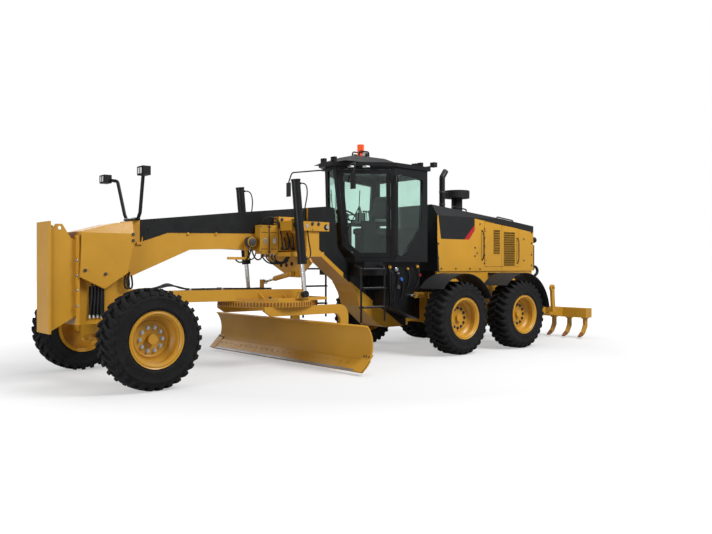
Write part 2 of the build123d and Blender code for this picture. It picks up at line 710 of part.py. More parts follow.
def rear_frame():
    """Two rails, the hitch boss, the axle tube and the bumper."""
    rail = block((-4230, -1340), (rail_y, rail_y + rail_width), (760, 1060))
    cross_front = block((-1560, -1340), (-rail_y - rail_width, rail_y + rail_width), (500, 1060))
    sill = block((hood_rear + 30, hood_front - 10), (sill_half - 50, sill_half), (1000, hood_low - fit))
    sill += block((-1560, -1360), (rail_y, sill_half), (1000, 1060))
    sill += block((-4230, -4100), (rail_y, sill_half), (1000, 1060))
    lug = block((ripper_pin_x - 60, -4200), (ripper_arm_y - 70, ripper_arm_y - fit), (580, 900))
    lug += block((-4260, -4200), (bumper_half - 10, ripper_arm_y - fit), (820, 900))
    head = block((ripper_head_x - 35, -4350), (42, 72), (ripper_head_z - 50, ripper_head_z + 50))
    plug = block((-4395, -4375), (300, 400), (1060, 1140))
    boss_low = hitch_low + lug_thickness + fit
    boss_high = hitch_high - lug_thickness - fit
    boss = block((-1350, hitch_x), (-hitch_radius, hitch_radius), (boss_low, boss_high))
    boss += rod((hitch_x, 0, boss_low), (hitch_x, 0, boss_high), hitch_radius)
    boss -= rod((hitch_x, 0, 300), (hitch_x, 0, 900), pin_radius + fit)
    tube_end = case_inner - fit
    tube = rod((tandem_x, -tube_end, tyre_radius + 60), (tandem_x, tube_end, tyre_radius + 60), 160)
    bumper = block((-4380, -4200), (-bumper_half, bumper_half), (820, 1400))
    frame = both(rail + sill + lug + head + plug) + cross_front + boss + tube + bumper
    frame -= rod((ripper_pin_x, -900, ripper_pin_z), (ripper_pin_x, 900, ripper_pin_z), 30 + fit)
    frame -= rod((ripper_head_x, -100, ripper_head_z), (ripper_head_x, 100, ripper_head_z), 22 + fit)
    save("rear_frame", frame)
    engine = block((-3900, -1700), (-330, 330), (1060 + fit, 2100))
    save("engine_block", engine)


def tandem():
    """Chain case between the two wheels of each side, with the wheel hubs."""
    axle_a = tandem_x + tandem_spacing / 2
    axle_b = tandem_x - tandem_spacing / 2
    case = block((axle_b, axle_a), (case_inner, case_outer), (tyre_radius - 190, tyre_radius + 190))
    for x in (axle_a, axle_b):
        case += rod((x, case_inner, tyre_radius), (x, case_outer, tyre_radius), 190)
        case += rod((x, case_outer - 50, tyre_radius), (x, track_y - fit, tyre_radius), 120)
        case += rod((x, track_y - 30, tyre_radius), (x, track_y + 70, tyre_radius), hub_hole - fit)
    save("tandem_cases", both(case))


def hood():
    """Engine cover with its side lids, stack and air cleaner."""
    def cover(off):
        """The hood's form, drawn in by an amount."""
        front = cross_plate(
            [(-hood_half + off, hood_low), (-hood_half + off, 2480),
             (-hood_top_half + off / 2, hood_front_z - off),
             (hood_top_half - off / 2, hood_front_z - off), (hood_half - off, 2480),
             (hood_half - off, hood_low)], (hood_rear + off, hood_front - off))
        slope = side_plate(
            [(hood_rear, hood_low - 10), (hood_front, hood_low - 10), (hood_front, hood_front_z - off),
             (hood_rear, hood_rear_z - off)], (-800, 800))
        return front & slope
    shell = cover(0) - cover(hood_wall)
    outline = [(lid_rear, lid_low), (lid_front, lid_low), (lid_front, lid_high_front),
               (lid_rear, lid_high_rear)]
    grown = [(lid_rear - shut_gap, lid_low - shut_gap), (lid_front + shut_gap, lid_low - shut_gap),
             (lid_front + shut_gap, lid_high_front + shut_gap),
             (lid_rear - shut_gap, lid_high_rear + shut_gap)]
    shell -= both(side_plate(grown, (hood_half - 80, hood_half + 50)))
    shell -= rod((stack_x, stack_y, 2400), (stack_x, stack_y, 2800), 55 + fit)
    shell -= rod((cleaner_x, 0, 2400), (cleaner_x, 0, 2800), 110 + fit)
    fall = (hood_front_z - hood_rear_z) / (hood_front - hood_rear)
    for front, rear in ((-1950, -2350), (-3280, -3800)):
        high = hood_front_z - fall * (hood_front - front)
        low = hood_front_z - fall * (hood_front - rear)
        shell += both(pipe([(front, 440, high - 20), (front, 440, high + 60), (rear, 440, low + 60),
                            (rear, 440, low - 20)], [25, 25], 13))
    for y, z in ((540, 2040), (570, 1460)):
        shell += both(block((hood_rear - 40, hood_rear + 10), (y - 60, y + 45), (z, z + 80)))
    save("hood", shell)
    lid = side_plate(outline, (hood_half - hood_wall, hood_half))
    for z in (1660, 2230):
        pin_x = lid_front + shut_gap / 2
        lid += rod((pin_x, hood_half + hinge_out, z), (pin_x, hood_half + hinge_out, z + 80),
                   hinge_out - fit)
        lid += block((pin_x - 60, pin_x), (hood_half - 2, hood_half + 8), (z, z + 80))
    grilles = [
        # front x, rear x, low z, high z
        (-2952, -3152, 1781, 2263),
        (-3272, -3632, 1544, 2232),
    ]
    for front, rear, low, high in grilles:
        lid -= block((rear, front), (hood_half - 12, hood_half + 5), (low, high))
        count = round((high - low) / 46)
        for i in range(count):
            z = low + (i + 0.5) * (high - low) / count
            lid += block((rear - 2, front + 2), (hood_half - 14, hood_half - 2), (z - 9, z + 9))
    save("hood_lid_left", lid)
    save("hood_lid_right", mirrored(lid))
    stack = pipe([(stack_x, stack_y, 2600), (stack_x, stack_y, 3230), (stack_x - 97, stack_y, 3357)],
                 [60], 55)
    save("exhaust_stack", stack)
    cleaner = rod((cleaner_x, 0, 2520), (cleaner_x, 0, 2900), 110)
    cleaner += rod((cleaner_x, 0, 2900), (cleaner_x, 0, 3050), 250)
    save("air_cleaner", cleaner)


def fenders():
    """Arched guards over the four rear wheels."""
    inner = tyre_radius + fender_gap
    parts = None
    arches = [
        # axle x, first angle, last angle, bracket's x from the axle
        (tandem_x + tandem_spacing / 2, 42, 155, -275),
        (tandem_x - tandem_spacing / 2, 45, 172, 0),
    ]
    for x, start, end, shift in arches:
        ring = Cylinder(inner + 12, 560) - Cylinder(inner, 570)
        wedge = [(0, 0)] + [(1500 * cos(radians(a)), 1500 * sin(radians(a)))
                            for a in (start, (start + end) / 2, end)]
        cut = extrude(make_face(Polyline(*[(u, v, 0) for u, v in wedge], close=True)), amount=300, both=True)
        arch = Pos(x, track_y - 60, tyre_radius) * (Rot(90, 0, 0) * (ring & cut))
        seat_z = tyre_radius + sqrt(inner ** 2 - shift ** 2)
        arch += block((x + shift - 60, x + shift + 60), (sill_half + fit, track_y - 330),
                      (seat_z - 45, seat_z + 5))
        parts = arch if parts is None else parts + arch
    save("fenders", both(parts))


def ripper():
    """Rear ripper: beam, arms and shanks, with its lift cylinder."""
    beam = block((rear_x, rear_x + 220), (-ripper_half, ripper_half), (ripper_low, ripper_high))
    arm = side_plate([(ripper_pin_x + 60, ripper_pin_z - 60), (ripper_pin_x + 60, ripper_pin_z + 60),
                      (rear_x + 210, ripper_high), (rear_x + 210, ripper_low)],
                     (ripper_arm_y, ripper_arm_y + 60))
    pin = rod((ripper_pin_x, ripper_arm_y - 70, ripper_pin_z),
              (ripper_pin_x, ripper_arm_y + 60, ripper_pin_z),
              30)
    lug = side_plate([(rear_x + 160, ripper_high - 10), (rear_x + 220, ripper_low + 60),
                      (ripper_eye_x + 45, ripper_eye_z - 40), (ripper_eye_x + 45, ripper_eye_z + 45),
                      (ripper_eye_x - 45, ripper_eye_z + 45)], (42, 72))
    lug -= rod((ripper_eye_x, 0, ripper_eye_z), (ripper_eye_x, 100, ripper_eye_z), 22 + fit)
    link = block((-4710, -4600), (ripper_arm_y + 55, link_y + 50), (585, 650))
    link += side_plate([(-4700, 590), (-4600, 590), (-4560, 1080), (-4660, 1080)], (link_y, link_y + 50))
    link += rod((-4610, link_y, 1090), (-4610, link_y + 50, 1090), 70)
    link -= rod((-4610, link_y - 5, 1090), (-4610, link_y + 55, 1090), 28)
    frame = beam + both(arm + pin + lug + link)
    for i in range(shank_count):
        y = (i - (shank_count - 1) / 2) * shank_pitch
        shank = side_plate(
            [(rear_x + 52.5, ripper_low + 20), (rear_x + 52.5, ripper_low - 190),
             (rear_x + 152.5, shank_tip_z + 70), (rear_x + 322.5, shank_tip_z),
             (rear_x + 342.5, shank_tip_z + 20), (rear_x + 212.5, shank_tip_z + 120),
             (rear_x + 142.5, ripper_low - 160), (rear_x + 142.5, ripper_low + 20)], (y - 30, y + 30))
        shank += block((rear_x + 30, rear_x + 175), (y - 45, y + 45), (ripper_low - 25, ripper_low + 5))
        frame += shank
    save("ripper", frame)
    head = Vector(ripper_head_x, 0, ripper_head_z)
    eye = Vector(ripper_eye_x, 0, ripper_eye_z)
    along = (eye - head).normalized()
    barrel = rod(head + along * 80, head + along * 500, 55) + rod(head, head + along * 90, 38)
    barrel += rod((ripper_head_x, -41, ripper_head_z), (ripper_head_x, 41, ripper_head_z), 45)
    barrel += rod((ripper_head_x, -72, ripper_head_z), (ripper_head_x, 72, ripper_head_z), 22)
    barrel -= rod(head + along * 90, head + along * 510, 30 + fit)
    save("ripper_barrel", barrel)
    shaft = rod(head + along * 330, eye, 30)
    shaft += rod((ripper_eye_x, -41, ripper_eye_z), (ripper_eye_x, 41, ripper_eye_z), 42)
    save("ripper_rod", shaft)


def cab_base():
    """Platform that carries the cab on the goose neck, with the side tanks and steps."""
    top = cab_floor - fit
    middle = side_plate([(-890, 765), (-322, 844 + fit), (0, 1026), (0, top), (-890, top)],
                        (-cheek_half, cheek_half))
    deck = side_plate([(-890, 1390), (420, 1390), (420, top), (-890, top)], (-620, 620))
    deck -= block((20, 500), (-neck_half - 10, neck_half + 10), (1300, 1700))
    tank = side_plate([(-860, 600), (-90, 860), (-90, 1395), (-860, 1395)], (cheek_half + fit, 640))
    save("cab_base", middle + deck + both(tank))
    rail = pipe([(655, 800, 615), (655, 800, 1520), (655, 640, 1560)], [60], 18)
    rail += Pos(-520, 0, 0) * rail
    for z in (864, 1180, 1496):
        rail += block((135, 655), (745, 855), (z - 12, z + 12))
    rail += block((135, 420), (620, 750), (1484, 1508))
    save("side_steps", both(rail))


def mirrors():
    """Mirror arms in front of the cab."""
    root_z = cab_head - 12 - fit
    arm = pipe([(560, 290, root_z), (845, 880, root_z - 14), (905, 893, 3050), (908, 893, 2900)],
               [50, 60], 12)
    plate = block((896, 920), (838, 948), (2790, 3040))
    save("mirrors", both(arm + plate))


main_frame()
beam_cover()
push_plate()
front_axle()
tie_rod()
lean_and_knuckle()
wheels()
front_lamps()
lift_saddle()
lift_cylinders()
centre_shift()
drawbar()
circle()
blade_carrier()
blade()
cab()
cab_inside()
rear_frame()
tandem()
hood()
fenders()
ripper()
cab_base()
mirrors()
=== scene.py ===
"""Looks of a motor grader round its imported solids: paint, tread, glass, seat, hoses and trim.

Everything is in metres, +X forward, +Y to the machine's left, +Z up, as the solids are.
"""
import json
from math import copysign, cos, pi, radians, sin

import bmesh
import bpy
from mathutils import Matrix, Vector


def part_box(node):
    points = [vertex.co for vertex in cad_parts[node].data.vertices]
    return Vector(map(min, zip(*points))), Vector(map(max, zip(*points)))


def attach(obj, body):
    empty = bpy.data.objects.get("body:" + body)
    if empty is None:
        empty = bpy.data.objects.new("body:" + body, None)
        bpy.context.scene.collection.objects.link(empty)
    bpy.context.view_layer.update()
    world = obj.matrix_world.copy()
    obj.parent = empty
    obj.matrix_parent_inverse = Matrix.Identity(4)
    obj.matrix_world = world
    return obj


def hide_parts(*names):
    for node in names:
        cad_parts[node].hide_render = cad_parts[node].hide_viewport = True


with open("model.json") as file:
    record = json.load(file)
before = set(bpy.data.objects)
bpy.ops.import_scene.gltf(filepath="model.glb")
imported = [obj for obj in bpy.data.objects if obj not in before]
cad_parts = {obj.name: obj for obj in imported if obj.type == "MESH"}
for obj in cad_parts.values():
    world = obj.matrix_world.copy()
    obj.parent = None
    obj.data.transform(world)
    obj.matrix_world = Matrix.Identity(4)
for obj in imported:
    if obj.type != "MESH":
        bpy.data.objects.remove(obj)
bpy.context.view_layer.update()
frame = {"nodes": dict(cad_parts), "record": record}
nodes = frame["nodes"]
scene = bpy.context.scene

# Driving sizes, from the solids
TYRE_LOW, TYRE_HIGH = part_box("tyre_front_left")
TYRE_R = (TYRE_HIGH[2] - TYRE_LOW[2]) / 2
TRACK = (TYRE_LOW[1] + TYRE_HIGH[1]) / 2
FRONT_X = (TYRE_LOW[0] + TYRE_HIGH[0]) / 2
MIDDLE_X = sum(corner[0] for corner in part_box("tyre_middle_left")) / 2
REAR_X = sum(corner[0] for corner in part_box("tyre_rear_left")) / 2
WHEELS = [  # axle word, axle x
    ("front", FRONT_X),
    ("middle", MIDDLE_X),
    ("rear", REAR_X),
]
SIDES = [("left", 1), ("right", -1)]
FRONT, REAR = "front_frame", "rear_frame"   # the bodies that most trim rides on


# Finishes

def shader(name, rough, metal=0.0, coat=0.0):
    """A new material with its nodes, its output and its principled shader."""
    mat = bpy.data.materials.new(name)
    mat.use_nodes = True
    tree = mat.node_tree
    body = tree.nodes["Principled BSDF"]
    body.inputs["Roughness"].default_value = rough
    body.inputs["Metallic"].default_value = metal
    body.inputs["Coat Weight"].default_value = coat
    body.inputs["Coat Roughness"].default_value = 0.15
    return mat, tree, body


def add(tree, kind, **values):
    """A new shader node, with values for its inputs."""
    made = tree.nodes.new("ShaderNode" + kind)
    for socket, value in values.items():
        made.inputs[socket.replace("_", " ")].default_value = value
    return made


def grain(tree, scale, detail=4.0, stretch=(1, 1, 1)):
    """Noise on object coordinates."""
    place = add(tree, "TexCoord")
    turn = add(tree, "Mapping", Scale=stretch)
    noise = add(tree, "TexNoise", Scale=scale, Detail=detail)
    tree.links.new(place.outputs["Object"], turn.inputs["Vector"])
    tree.links.new(turn.outputs["Vector"], noise.inputs["Vector"])
    return noise.outputs["Fac"]


def ramp(tree, value, stops):
    """Two colours along a value, as (position, colour) pairs."""
    band = add(tree, "ValToRGB")
    for element, stop in zip(band.color_ramp.elements, stops):
        element.position, element.color = stop
    tree.links.new(value, band.inputs["Fac"])
    return band.outputs["Color"]


def spread(tree, value, low, high):
    """A value moved into a range."""
    span = add(tree, "MapRange", From_Min=0.3, From_Max=0.7, To_Min=low, To_Max=high)
    tree.links.new(value, span.inputs["Value"])
    return span.outputs["Result"]


def raised(tree, value, strength, distance):
    """Bump from a value."""
    bump = add(tree, "Bump", Strength=strength, Distance=distance)
    tree.links.new(value, bump.inputs["Height"])
    return bump.outputs["Normal"]


def tone(colour, factor):
    """A colour made lighter or darker, with its alpha."""
    return tuple(min(1.0, c * factor) for c in colour) + (1.0,)


def finish(name, colour, rough, metal=0.0, coat=0.0, mottle=0.06, patch=2.2, texture=60.0, relief=0.08,
           depth=0.001, stretch=(1, 1, 1), shine=0.5):
    """A surface with slow colour changes, uneven gloss and fine relief."""
    mat, tree, body = shader(name, rough, metal, coat)
    body.inputs["Specular IOR Level"].default_value = shine
    slow = grain(tree, patch, 5.0, stretch)
    shade = ramp(tree, slow, [(0.3, tone(colour, 1 - mottle)), (0.7, tone(colour, 1 + mottle))])
    tree.links.new(shade, body.inputs["Base Color"])
    tree.links.new(spread(tree, grain(tree, patch * 4, 6.0), rough * 0.85, min(1.0, rough * 1.18)),
                   body.inputs["Roughness"])
    tree.links.new(raised(tree, grain(tree, texture, 3.0, stretch), relief, depth), body.inputs["Normal"])
    return mat


def beyond(tree, way, limit):
    """1 where a place along a direction is past a limit, in object coordinates."""
    place = add(tree, "TexCoord")
    along = add(tree, "VectorMath")
    along.operation = "DOT_PRODUCT"
    along.inputs[1].default_value = way
    past = add(tree, "Math")
    past.operation = "GREATER_THAN"
    past.inputs[1].default_value = limit
    tree.links.new(place.outputs["Object"], along.inputs[0])
    tree.links.new(along.outputs["Value"], past.inputs[0])
    return past.outputs["Value"]


def side_line(start, end):
    """Direction and limit of what lies left of a line between two (x, z) points."""
    way = (start[1] - end[1], 0.0, end[0] - start[0])
    return way, way[0] * start[0] + way[2] * start[1]


def areas(mat, parts):
    """Other colours over a finish, each with the limits that bound it."""
    tree = mat.node_tree
    body = tree.nodes["Principled BSDF"]
    shade = body.inputs["Base Color"].links[0].from_socket
    for colour, limits in parts:
        inside = None
        for way, limit in limits:
            past = beyond(tree, way, limit)
            if inside is None:
                inside = past
                continue
            joined = add(tree, "Math")
            joined.operation = "MULTIPLY"
            tree.links.new(inside, joined.inputs[0])
            tree.links.new(past, joined.inputs[1])
            inside = joined.outputs["Value"]
        mix = add(tree, "Mix")
        mix.data_type = "RGBA"
        mix.inputs["B"].default_value = (*colour, 1.0)
        tree.links.new(inside, mix.inputs["Factor"])
        tree.links.new(shade, mix.inputs["A"])
        shade = mix.outputs["Result"]
    tree.links.new(shade, body.inputs["Base Color"])
    return mat


def pane_finish(name, colour, rough, ior):
    """Clear tinted glass or lens plastic, with a faint film on it."""
    mat, tree, body = shader(name, rough)
    body.inputs["Transmission Weight"].default_value = 1.0
    body.inputs["IOR"].default_value = ior
    film = ramp(tree, grain(tree, 3.0), [(0.3, tone(colour, 0.94)), (0.7, tone(colour, 1.0))])
    tree.links.new(film, body.inputs["Base Color"])
    tree.links.new(spread(tree, grain(tree, 9.0), rough, rough + 0.03), body.inputs["Roughness"])
    return mat


YELLOW = (0.54, 0.275, 0.024)
BLACK = (0.0065, 0.007, 0.008)
RED = (0.42, 0.012, 0.018)


def enamel(name):
    """The machine's yellow paint."""
    return finish(name, YELLOW, 0.40, coat=0.04, mottle=0.05, relief=0.05, depth=0.0006, shine=0.35)


yellow = enamel("ochre_enamel")
black = finish("black_enamel", BLACK, 0.42, mottle=0.12, relief=0.06, depth=0.0006, shine=0.22)
rubber = finish("tyre_rubber", (0.010, 0.010, 0.011), 0.85, mottle=0.25, patch=5.0, texture=90.0,
                relief=0.25, shine=0.2)
chrome = finish("chromed_rod", (0.72, 0.73, 0.75), 0.16, metal=1.0, mottle=0.03, texture=200.0, relief=0.02,
                depth=0.0003)
plastic = finish("black_moulding", (0.014, 0.014, 0.015), 0.62, mottle=0.15, texture=350.0, relief=0.3,
                 depth=0.0008, shine=0.2)
zinc = finish("plated_steel", (0.46, 0.47, 0.49), 0.34, metal=0.9, mottle=0.1, patch=14.0, relief=0.06)
edge_steel = finish("edge_steel", (0.30, 0.32, 0.35), 0.45, metal=0.7, mottle=0.18, patch=4.0, texture=30.0,
                    relief=0.2, depth=0.001, stretch=(1, 0.2, 4))
iron = finish("cast_iron", (0.05, 0.05, 0.053), 0.65, metal=0.3, mottle=0.2, texture=80.0, relief=0.4)
hose_rubber = finish("hose_rubber", (0.010, 0.010, 0.011), 0.5, mottle=0.1, texture=400.0, relief=0.2,
                     shine=0.25)
red = finish("red_enamel", RED, 0.36, coat=0.2, mottle=0.04, relief=0.05)
cloth = finish("seat_cloth", (0.035, 0.035, 0.04), 0.9, mottle=0.12, patch=9.0, texture=420.0, relief=0.4)
grey = finish("grey_moulding", (0.13, 0.135, 0.14), 0.5, mottle=0.08, texture=200.0, relief=0.15)
silver = finish("bare_plate", (0.52, 0.53, 0.55), 0.3, metal=0.8, mottle=0.05, patch=12.0, relief=0.03)
mirror = finish("mirror_face", (0.8, 0.8, 0.8), 0.04, metal=1.0, mottle=0.02, relief=0.0)
lamp_white = finish("lamp_reflector", (0.78, 0.79, 0.80), 0.35, mottle=0.04, patch=20.0, relief=0.03)
# Darker yellow for the grille mesh: its own yellow paint mixed with painted shade for the dark space behind
# its holes.
grille_mesh_with_painted_shade = finish("mesh_enamel_with_painted_shade", (0.30, 0.155, 0.020), 0.55, mottle=0.10, texture=500.0, relief=0.5,
                    shine=0.25)
worn_iron = finish("worn_iron", (0.23, 0.085, 0.018), 0.6, metal=0.2, mottle=0.25, patch=12.0, relief=0.3)
blue = finish("blue_cap", (0.03, 0.12, 0.42), 0.4, mottle=0.05)

# The hood: black front and top, a yellow strip, and a black panel cut off by a slanting red stripe
PANEL_LOW = (0.0, 0.0, 1.0), 2.050
HOOD_REAR = -4.2575
STRIP_FRONT = side_line((-1.316, 2.436), (-1.402, 1.457))
STRIP_REAR = side_line((-1.385, 2.412), (-1.444, 2.046))
SLANT = side_line((-2.372, 2.317), (-2.083, 2.050))
STRIPE = side_line((-2.500, 2.350), (-2.225, 2.050))
PANEL_REAR = (1.0, 0.0, 0.0), -2.390
TOP_EDGE = side_line((-4.208, 2.250), (-2.427, 2.458))
FRONT_FACE = [((1.0, 0.0, 0.0), -1.380), ((0.0, 1.0, 0.0), -0.6192), ((0.0, -1.0, 0.0), -0.6192)]
hood_paint = areas(
    enamel("hood_enamel"),
    [
        (RED, [STRIPE, PANEL_LOW, PANEL_REAR]),
        (BLACK, [SLANT, PANEL_LOW, PANEL_REAR]),
        (YELLOW, [STRIP_REAR]),
        (BLACK, [STRIP_FRONT]),
        (BLACK, [TOP_EDGE]),
        (BLACK, FRONT_FACE),
        (BLACK, [((-1.0, 0.0, 0.0), -HOOD_REAR)]),
    ])
# The neck's sides are black above a line that runs down to the hitch
NECK_LINE = side_line((-0.831, 0.453), (1.061, 1.700))
NECK_FRONT = (-1.0, 0.0, 0.0), -0.540
NECK_SIDE = 0.1995
frame_paint = areas(
    enamel("frame_enamel"),
    [
        (BLACK, [((0.0, 1.0, 0.0), NECK_SIDE), NECK_LINE, NECK_FRONT]),
        (BLACK, [((0.0, -1.0, 0.0), NECK_SIDE), NECK_LINE, NECK_FRONT]),
    ])
OWN_PAINT = {"hood": hood_paint, "main_frame": frame_paint}
glass = pane_finish("green_tinted_glass", (0.72, 0.90, 0.83), 0.02, 1.45)
clear = pane_finish("lamp_lens", (0.95, 0.96, 0.97), 0.05, 1.45)
amber = pane_finish("beacon_lens", (0.95, 0.10, 0.015), 0.12, 1.45)
SLOT_FINISH = {
    "yellow_paint": yellow, "black_paint": black, "tyre_rubber": rubber, "chrome": chrome,
    "cab_glass": glass, "black_plastic": plastic, "seat_cloth": cloth, "beacon_lens": amber,
    "machined_steel": iron,
}
for part in frame["record"]["subparts"]:
    for slot in nodes[part["node"]].material_slots:
        slot.material = OWN_PAINT.get(part["node"], SLOT_FINISH[part["material_slot"]])


# Making pieces

def linked(name, data):
    """A new object in the scene."""
    obj = bpy.data.objects.new(name, data)
    scene.collection.objects.link(obj)
    return obj


def pattern(bm, name):
    """A mesh from a bmesh, for an object or to be stamped many times into pieces."""
    bmesh.ops.recalc_face_normals(bm, faces=bm.faces)
    mesh = bpy.data.meshes.new(name)
    bm.to_mesh(mesh)
    bm.free()
    return mesh


def piece(bm, name, body, mat, edge=0.0, smooth=False):
    """A mesh piece from a bmesh, in its place, riding on a body."""
    mesh = pattern(bm, name)
    obj = linked(name, mesh)
    mesh.materials.append(mat)
    if smooth:
        mesh.shade_smooth()
        mesh.set_sharp_from_angle(angle=radians(38))
    if edge:
        soften = obj.modifiers.new("edges", "BEVEL")
        soften.width = edge
        soften.segments = 2
        soften.limit_method = "ANGLE"
        soften.harden_normals = False
    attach(obj, body)
    return obj


def stamp(bm, mesh, place):
    """Adds a copy of a pattern to a bmesh."""
    first = len(bm.verts)
    bm.from_mesh(mesh)
    bm.verts.ensure_lookup_table()
    bmesh.ops.transform(bm, matrix=place, verts=bm.verts[first:])


def aim(direction):
    """A turn that brings +Z to a direction."""
    return Vector(direction).to_track_quat("Z", "Y").to_matrix().to_4x4()


def box(bm, x, y, z, turn=None):
    """A block between three pairs of limits, turned about its own centre."""
    centre = Vector(((x[0] + x[1]) / 2, (y[0] + y[1]) / 2, (z[0] + z[1]) / 2))
    size = Matrix.Diagonal((x[1] - x[0], y[1] - y[0], z[1] - z[0], 1))
    place = Matrix.Translation(centre) @ (turn if turn else Matrix.Identity(4)) @ size
    return bmesh.ops.create_cube(bm, size=1.0, matrix=place)["verts"]


def bar(bm, start, end, radius, sides=20, end_radius=None):
    """A round bar, or a cone, between two points."""
    start, end = Vector(start), Vector(end)
    place = Matrix.Translation((start + end) / 2) @ aim(end - start)
    tip = radius if end_radius is None else end_radius
    return bmesh.ops.create_cone(bm, cap_ends=True, segments=sides, radius1=radius, radius2=tip,
                                 depth=(end - start).length, matrix=place)["verts"]


def box_pair(bm, x, y, z):
    """A block and its twin on the other side, with y given for the left one."""
    for side in (-1, 1):
        box(bm, x, sorted((side * y[0], side * y[1])), z)


def bar_pair(bm, start, end, *shape):
    """A round bar and its twin on the other side, given for the left one."""
    for side in (-1, 1):
        bar(bm, (start[0], side * start[1], start[2]), (end[0], side * end[1], end[2]), *shape)


def ball(bm, centre, radius, squeeze=(1, 1, 1)):
    """A ball, or a flattened one."""
    place = Matrix.Translation(centre) @ Matrix.Diagonal((*squeeze, 1))
    return bmesh.ops.create_uvsphere(bm, u_segments=20, v_segments=12, radius=radius, matrix=place)["verts"]


def plate(bm, points, sweep):
    """A flat outline pushed along a vector."""
    face = bm.faces.new([bm.verts.new(p) for p in points])
    grown = bmesh.ops.extrude_face_region(bm, geom=[face])["geom"]
    bmesh.ops.translate(bm, vec=sweep, verts=[g for g in grown if isinstance(g, bmesh.types.BMVert)])


def turned(bm, outline, axis, centre, steps, closed=True):
    """An outline of (radius, along) pairs spun round an axis of "X", "Y" or "Z"."""
    out = {"X": Vector((0, 0, 1)), "Y": Vector((1, 0, 0)), "Z": Vector((1, 0, 0))}[axis]
    along = {"X": Vector((1, 0, 0)), "Y": Vector((0, 1, 0)), "Z": Vector((0, 0, 1))}[axis]
    centre = Vector(centre)
    ring = [bm.verts.new(centre + out * r + along * a) for r, a in outline]
    pairs = list(zip(ring, ring[1:])) + ([(ring[-1], ring[0])] if closed else [])
    lines = [bm.edges.new(pair) for pair in pairs]
    bmesh.ops.spin(bm, geom=ring + lines, cent=centre, axis=along, dvec=(0, 0, 0), angle=2 * pi, steps=steps,
                   use_merge=True, use_normal_flip=False, use_duplicate=False)


def bolt_pattern(name, across, height):
    """A hexagon head on a washer, standing on the XY plane."""
    bm = bmesh.new()
    bmesh.ops.create_cone(bm, cap_ends=True, segments=14, radius1=across * 0.78, radius2=across * 0.78,
                          depth=height * 0.25, matrix=Matrix.Translation((0, 0, height * 0.125)))
    bmesh.ops.create_cone(bm, cap_ends=True, segments=6, radius1=across * 0.58, radius2=across * 0.52,
                          depth=height * 0.75, matrix=Matrix.Translation((0, 0, height * 0.62)))
    return pattern(bm, name)


def bolts(name, body, mat, mesh, places):
    """Bolt heads at (point, direction) places, as one piece."""
    bm = bmesh.new()
    for point, direction in places:
        stamp(bm, mesh, Matrix.Translation(point) @ aim(direction))
    return piece(bm, name, body, mat)


def hoses(name, body, mat, radius, routes, sides=3):
    """Bent tubes or hoses along smooth lines, made one mesh."""
    curve = bpy.data.curves.new(name + "_line", "CURVE")
    curve.dimensions = "3D"
    curve.bevel_depth = radius
    curve.bevel_resolution = sides
    curve.resolution_u = 8
    curve.use_fill_caps = True
    for route in routes:
        line = curve.splines.new("NURBS")
        line.points.add(len(route) - 1)
        for point, place in zip(line.points, route):
            point.co = (*place, 1.0)
        line.order_u = 3
        line.use_endpoint_u = True
    carrier = linked(name + "_line", curve)
    bpy.context.view_layer.update()
    mesh = bpy.data.meshes.new_from_object(carrier.evaluated_get(bpy.context.evaluated_depsgraph_get()))
    bpy.data.objects.remove(carrier)
    bm = bmesh.new()
    bm.from_mesh(mesh)
    bmesh.ops.remove_doubles(bm, verts=bm.verts, dist=1e-5)
    return piece(bm, name, body, mat, smooth=True)


def both_hands(routes):
    """Routes and their twins on the right-hand side."""
    return routes + [[(x, -y, z) for x, y, z in route] for route in routes]


def on_sides(points, half):
    """Places at (x, z) points on both side faces, facing outwards."""
    return [((x, side * half, z), (0, side, 0)) for x, z in points for side in (-1, 1)]


# Wheels

LUGS = 30
TREAD_BASE = TYRE_R - 0.042
LUG_SECTIONS = [  # across the tread: y, angle back in degrees, half width, top radius, base radius
    (-0.012, -2.2, 0.030, TYRE_R, TREAD_BASE - 0.01),
    (0.075, 1.0, 0.031, TYRE_R, TREAD_BASE - 0.01),
    (0.150, 4.6, 0.034, TYRE_R - 0.002, TREAD_BASE - 0.012),
    (0.192, 5.6, 0.036, TYRE_R - 0.014, TREAD_BASE - 0.026),
    (0.2205, 5.9, 0.034, TYRE_R - 0.075, TYRE_R - 0.085),
]
TYRE_OUTLINE = [  # radius, y: one half, from the bead to the middle of the tread
    (0.334, 0.178), (0.364, 0.186), (0.372, 0.205), (0.398, 0.214), (0.402, 0.219), (0.410, 0.216),
    (0.470, 0.2205), (0.515, 0.219), (0.520, 0.2215), (0.530, 0.2175), (0.568, 0.205), (0.592, 0.190),
    (TREAD_BASE - 0.004, 0.165), (TREAD_BASE, 0.080), (TREAD_BASE, 0.0),
]
RIM_RINGS = [  # closed outlines of radius, y
    [(0.3125, 0.150), (0.300, 0.154), (0.296, 0.168), (0.302, 0.180), (0.3125, 0.184)],
    [(0.346, 0.2005), (0.338, 0.206), (0.328, 0.206), (0.322, 0.198), (0.3125, 0.190), (0.330, 0.190)],
    [(0.3125, 0.024), (0.262, 0.024), (0.270, 0.040), (0.3125, 0.070)],
    [(0.205, 0.0238), (0.215, 0.031), (0.230, 0.031), (0.240, 0.0238)],
]


